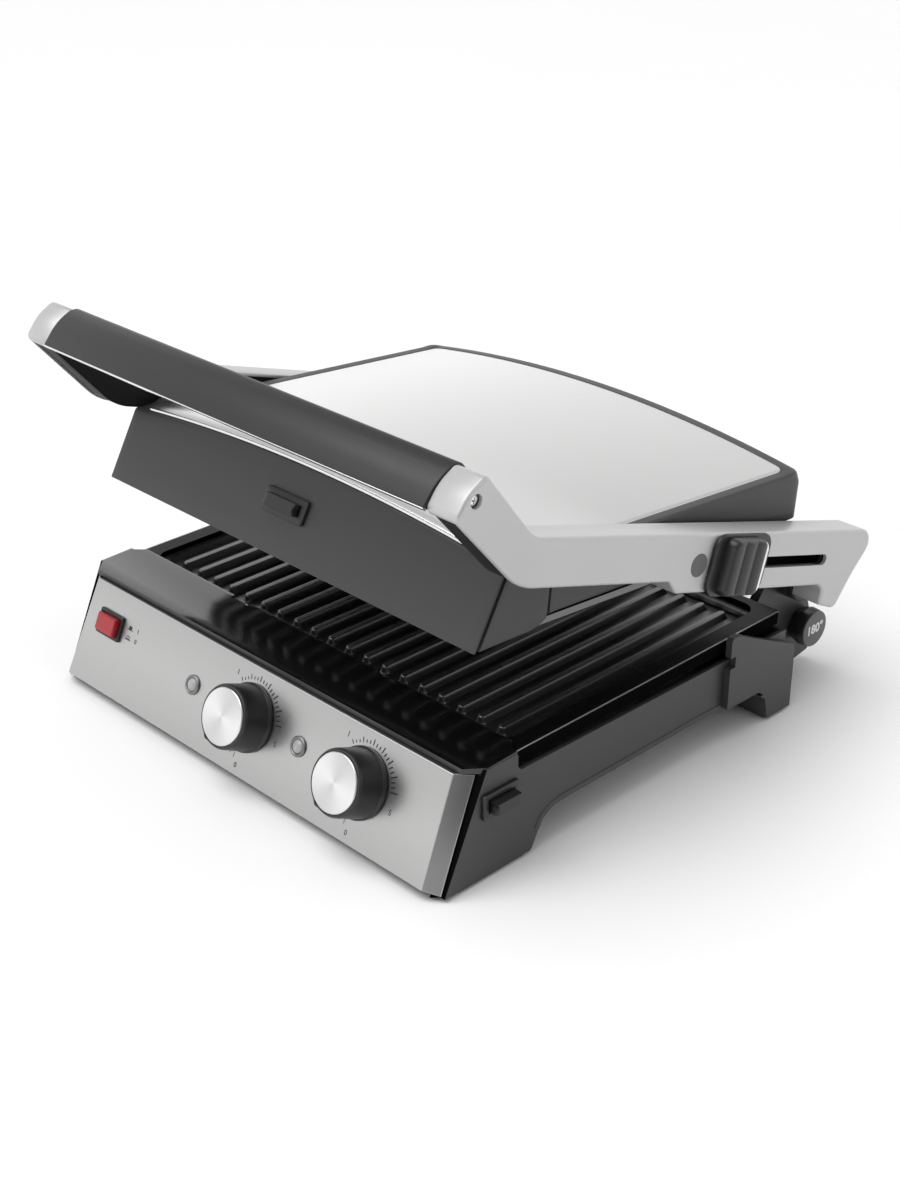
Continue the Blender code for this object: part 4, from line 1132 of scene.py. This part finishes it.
class PRESS_OT_arms(Operator):
    """Silver arms with a hollow inner side, their inner covers and the handle's screws"""
    bl_idname = "press.arms"
    bl_label = "Arms"

    def execute(self, context):
        edge = context.scene.press_sizes.edge
        quarter = np.linspace(0, math.pi / 2, 6)
        outer = np.stack([edge * (1 - np.sin(quarter)), ARM_OUT - edge * (1 - np.cos(quarter))], 1)
        inner = [(0, ARM_IN + 0.6), (0.2, ARM_IN + 0.2), (0.6, ARM_IN), (ARM_WEB - 0.4, ARM_IN),
                 (ARM_WEB - 0.1, ARM_IN + 0.1), (ARM_WEB, ARM_IN + 0.4), (ARM_WEB, ARM_OUT - ARM_WEB),
                 (ARM_WEB + 0.4, ARM_OUT - ARM_WEB)]
        profile = np.vstack([[(edge + 0.5, ARM_OUT)], outer, inner])
        sill = [(-338.4, 41.9, 0.5), (-286.8, 9.7, 37), (-172.0, 9.0, 0.5), (-172.0, 11.8, 0.5),
                (-286.1, 12.5, 34), (-336.9, 44.2, 0.5)]
        missing = [(-341.1, 37.6, 0.3), (-287.8, 4.5, 40), (-172.2, 3.6, 0.3), *sill[3:]]
        for side, sign in SIDES:
            stack = [(inset, sign * height) for inset, height in profile]
            sink = lathe([(0.1, 169.5, 0), (2.6, 169.5, 0), (2.6, 170.6, 0), (3.7, 170.6, 0.2), (3.7, 176, 0),
                          (0.1, 176, 0)], "x", (0, *HANDLE_SCREW), 40)
            flange = slab(missing, 140.0, ARM_SKIN, 0.05, "x", 8)
            cutters = [flipped(sink, sign), flipped(flange, sign)]
            if sign > 0:
                slot = rectangle(SLOT_FROM, SLOT_TO, SLOT_UP - SLOT_HALF, SLOT_UP + SLOT_HALF, 3.25)
                cutters.append(slab(slot, 165, 180, 0.1, "x", 8))
            piece(f"arm_casting_{side}", carry(ARM_CORNERS, stack, "x", 8), ARMS, finish("silver"), "arms",
                  [f"arm_{side}"], 34, cutters)
            cover = carry(ARM_CORNERS, [(ARM_WEB + 0.7, sign * 154.2), (ARM_WEB + 0.3, sign * 154.6),
                                        (ARM_WEB + 0.3, sign * 156.4), (ARM_WEB + 0.8, sign * 156.4)], "x", 6)
            under = flipped(slab(sill, ARM_IN + 0.5, ARM_SKIN - 0.1, 0.4, "x", 8), sign)
            piece(f"arm_liner_{side}", together(cover, under), ARMS, finish("liner"), "arms",
                  [f"arm_inner_cover_{side}"])
            head = [(0.1, 169.8, 0), (2.0, 169.8, 0), (2.0, 170.7, 0), (3.2, 170.7, 0.2), (3.1, 171.3, 0.4),
                    (1.9, 171.9, 0.8), (0.1, 172.0, 0)]
            screw = lathe(head, "x", (0, *HANDLE_SCREW), 36)
            recess = cross_recess((171.8, *HANDLE_SCREW), "x", 1.4, 1.9)
            piece(f"grip_screw_{side}", flipped(screw, sign), ARMS, finish("bright"), "arms",
                  [f"handle_screw_{side}"], 34, [flipped(wing, sign) for wing in recess])
        return {"FINISHED"}


class PRESS_OT_grip(Operator):
    """Handle grip: a blade with a thicker roll along its top, carried from arm to arm"""
    bl_idname = "press.grip"
    bl_label = "Grip"

    def execute(self, context):
        middle = np.array([-334.9, 54.2])
        u, v = np.array([-0.823, 0.568]), np.array([0.568, 0.823])
        section = [(0.9, -13.6, 0.5), (3.6, -1.0, 28), (2.2, 8.0, 18), (-1.4, 15.6, 5.5), (-14.2, 14.6, 6.5),
                   (-15.6, 2.0, 8), (-12.5, -8.0, 8), (-4.5, -11.9, 3)]
        blade = [(*(middle + u * a + v * b), r) for a, b, r in section]
        half = ARM_IN - 0.3
        piece("grip_bar", slab(blade, -half, half, 0.8, "x", 8), ARMS, finish("grip"), "arms",
              ["handle_grip"], 40)
        # A bright strip along the blade's lower edge: a painted highlight.
        highlight_strip = [(*(middle + u * a + v * b), 0.3)
                 for a, b in ((-2.0, -13.9), (1.0, -14.2), (1.0, -13.6), (-2.0, -13.0))]
        piece("grip_painted_highlight", slab(highlight_strip, -half, half, 0.2, "x", 3), ARMS, finish("bright"), "arms")
        coat("handle_rod", finish("element"))
        return {"FINISHED"}


class PRESS_OT_slider(Operator):
    """Height slider: a base plate, a fluted grip block and a bright trim, over the slot's track"""
    bl_idname = "press.slider"
    bl_label = "Height slider"

    def execute(self, context):
        plate = slab(rectangle(-26, 25, -17.4, 17.8, 8), 0.4, 2.9, 0.8, "x", 8)
        piece("slider_body", together(plate, self.fluted()), SLIDER, finish("black"), "slider",
              ["height_slider"])
        trim = slab(rectangle(2.0, 15.6, -15.0, 15.0, 5.5), 2.6, 8.2, 0.9, "x", 8)
        piece("slider_chrome", trim, SLIDER, finish("bright"), "slider", ["slider_trim"])
        eased("slider_track", finish("black"), 0.3)
        return {"FINISHED"}

    def fluted(self):
        """Grip block: a pillow over a rectangle, less the valleys between its three flutes."""
        front, back, up = -18.0, 13.2, 16.2
        bend = 2.6
        a, b = graded(front, back, bend, bend, 0.5, 5.0), graded(-up, up, bend, bend, 2.0)
        y, z, edge = rounded_grid(a, b, 4.5)
        flute = np.abs(np.sin((y - front) / (back - front) * 3 * math.pi)) ** 0.6
        height = 9.9 - rolled(edge, bend) * 2.4 - 1.5 * (1 - flute) * smooth_step((edge - 0.6) / 2.0)
        top = np.stack([np.maximum(height, 2.6), y, z], -1)
        bottom = np.stack([np.full_like(height, 2.2), y, z], -1)
        return two_sided(top, bottom)


class PRESS_OT_hinge(Operator):
    """Hinge shaft and the knuckles in the arms' crooks"""
    bl_idname = "press.hinge"
    bl_label = "Hinge"

    def execute(self, context):
        coat("hinge_shaft", finish("element"))
        for side, _ in SIDES:
            eased(f"hinge_knuckle_{side}", finish("dark"), 1.2, 4)
        return {"FINISHED"}


class PRESS_OT_works(Operator):
    """Finishes of the pieces inside the casing"""
    bl_idname = "press.works"
    bl_label = "Inner works"

    def execute(self, context):
        for node, look_of in (("lower_heater", "element"), ("upper_heater", "element"),
                              ("lower_reflector", "bright"), ("upper_reflector", "bright"),
                              ("terminal_block", "ceramic"), ("thermostat_left", "ceramic"),
                              ("thermostat_right", "ceramic")):
            coat(node, finish(look_of))
        return {"FINISHED"}


# ---- stage -----------------------------------------------------------------------------------------------
SCREEN_AT = (0.97, -0.20, 0.12)   # direction of the dark screen


def soft_light(name, at, aim, size, power):
    """A rectangular light that faces a point."""
    lamp = bpy.data.lights.new(name, "AREA")
    lamp.shape = "RECTANGLE"
    lamp.size, lamp.size_y = size
    lamp.energy = power
    made = bpy.data.objects.new(name, lamp)
    made.location = at
    made.rotation_euler = (Vector(aim) - Vector(at)).to_track_quat("-Z", "Y").to_euler()
    bpy.context.scene.collection.objects.link(made)


def soft_sky():
    """Studio surround: bright low down, dimmer overhead, with a dark screen to the right."""
    world = bpy.data.worlds.new("soft_sky")
    world.use_nodes = True
    tree = world.node_tree
    place = tree.nodes.new("ShaderNodeTexCoord")
    split = tree.nodes.new("ShaderNodeSeparateXYZ")
    tree.links.new(place.outputs["Generated"], split.inputs[0])
    x, y, z = (Value(tree, each) for each in split.outputs)
    level = 1.32 - z * 1.2
    level = level.maths("MAXIMUM", level, 0.6)
    toward = x * SCREEN_AT[0] + y * SCREEN_AT[1] + z * SCREEN_AT[2]
    screen = (toward - 0.58) * 5.0
    screen = screen.maths("MINIMUM", screen.maths("MAXIMUM", screen, 0.0), 1.0)
    plug(tree, tree.nodes["Background"].inputs["Color"], level * (1.0 - screen * 0.85))
    return world


class PRESS_OT_stage(Operator):
    """Pale floor, soft light and the camera"""
    bl_idname = "press.stage"
    bl_label = "Stage"

    def execute(self, context):
        reach, level = 7.0, -0.0002
        mesh = bpy.data.meshes.new("floor")
        mesh.from_pydata([(-reach, -reach, level), (reach, -reach, level), (reach, reach, level),
                          (-reach, reach, level)], [], [(0, 1, 2, 3)])
        pale = Finish("pale_floor", (0.94, 0.94, 0.94), 0.8)
        pale.shade(pale.noise(pale.places(), 3.0), 0.01)
        mesh.materials.append(pale.material)
        floor = bpy.data.objects.new("floor", mesh)
        context.scene.collection.objects.link(floor)
        context.scene.world = soft_sky()
        soft_light("key", (-0.6, -1.1, 1.5), (0, 0, 0.08), (1.2, 0.9), 4.0)
        soft_light("side", (1.5, 0.1, 0.9), (0, 0, 0.1), (0.8, 0.8), 3.0)
        sun = bpy.data.lights.new("overhead", "SUN")
        sun.energy = 1.5
        sun.angle = math.radians(50)
        made = bpy.data.objects.new("overhead", sun)
        made.rotation_euler = Vector((0.2, 0.35, -1.0)).to_track_quat("-Z", "Y").to_euler()
        context.scene.collection.objects.link(made)
        context.scene.view_settings.view_transform = "Standard"
        self.camera(context)
        return {"FINISHED"}

    def camera(self, context):
        azimuth, elevation = math.radians(45.7), math.radians(27.35)
        away = Vector((math.sin(azimuth) * math.cos(elevation), -math.cos(azimuth) * math.cos(elevation),
                       math.sin(elevation)))
        data = bpy.data.cameras.new("camera")
        data.lens = 56.0
        data.sensor_width = 36.0
        made = bpy.data.objects.new("camera", data)
        made.location = (0.7074, -0.6914, 0.5658)
        made.rotation_euler = (-away).to_track_quat("-Z", "Y").to_euler()
        context.scene.collection.objects.link(made)
        context.scene.camera = made


OPERATORS = (PRESS_OT_stage, PRESS_OT_casing, PRESS_OT_apron, PRESS_OT_panel, PRESS_OT_marks,
             PRESS_OT_controls, PRESS_OT_lower_plate, PRESS_OT_side_button, PRESS_OT_release, PRESS_OT_lid,
             PRESS_OT_upper_plate, PRESS_OT_arms, PRESS_OT_grip, PRESS_OT_slider, PRESS_OT_hinge,
             PRESS_OT_works)


class PRESS_PT_sidebar(Panel):
    """Lists the settings and the pieces"""
    bl_idname = "PRESS_PT_sidebar"
    bl_label = "Panini Press"
    bl_space_type = "VIEW_3D"
    bl_region_type = "UI"
    bl_category = "Press"

    def draw(self, context):
        for group in (context.scene.press_sizes, context.scene.press_look):
            for key in group.bl_rna.properties.keys()[2:]:
                self.layout.prop(group, key)
        for operator in OPERATORS:
            self.layout.operator(operator.bl_idname)


CLASSES = (PressSizes, PressLook, *OPERATORS, PRESS_PT_sidebar)


def register():
    for each in CLASSES:
        bpy.utils.register_class(each)
    bpy.types.Scene.press_sizes = PointerProperty(type=PressSizes)
    bpy.types.Scene.press_look = PointerProperty(type=PressLook)


def unregister():
    del bpy.types.Scene.press_look
    del bpy.types.Scene.press_sizes
    for each in reversed(CLASSES):
        bpy.utils.unregister_class(each)


def main():
    register()
    for operator in OPERATORS:
        group, name = operator.bl_idname.split(".")
        getattr(getattr(bpy.ops, group), name)()


if __name__ == "__main__":
    main()
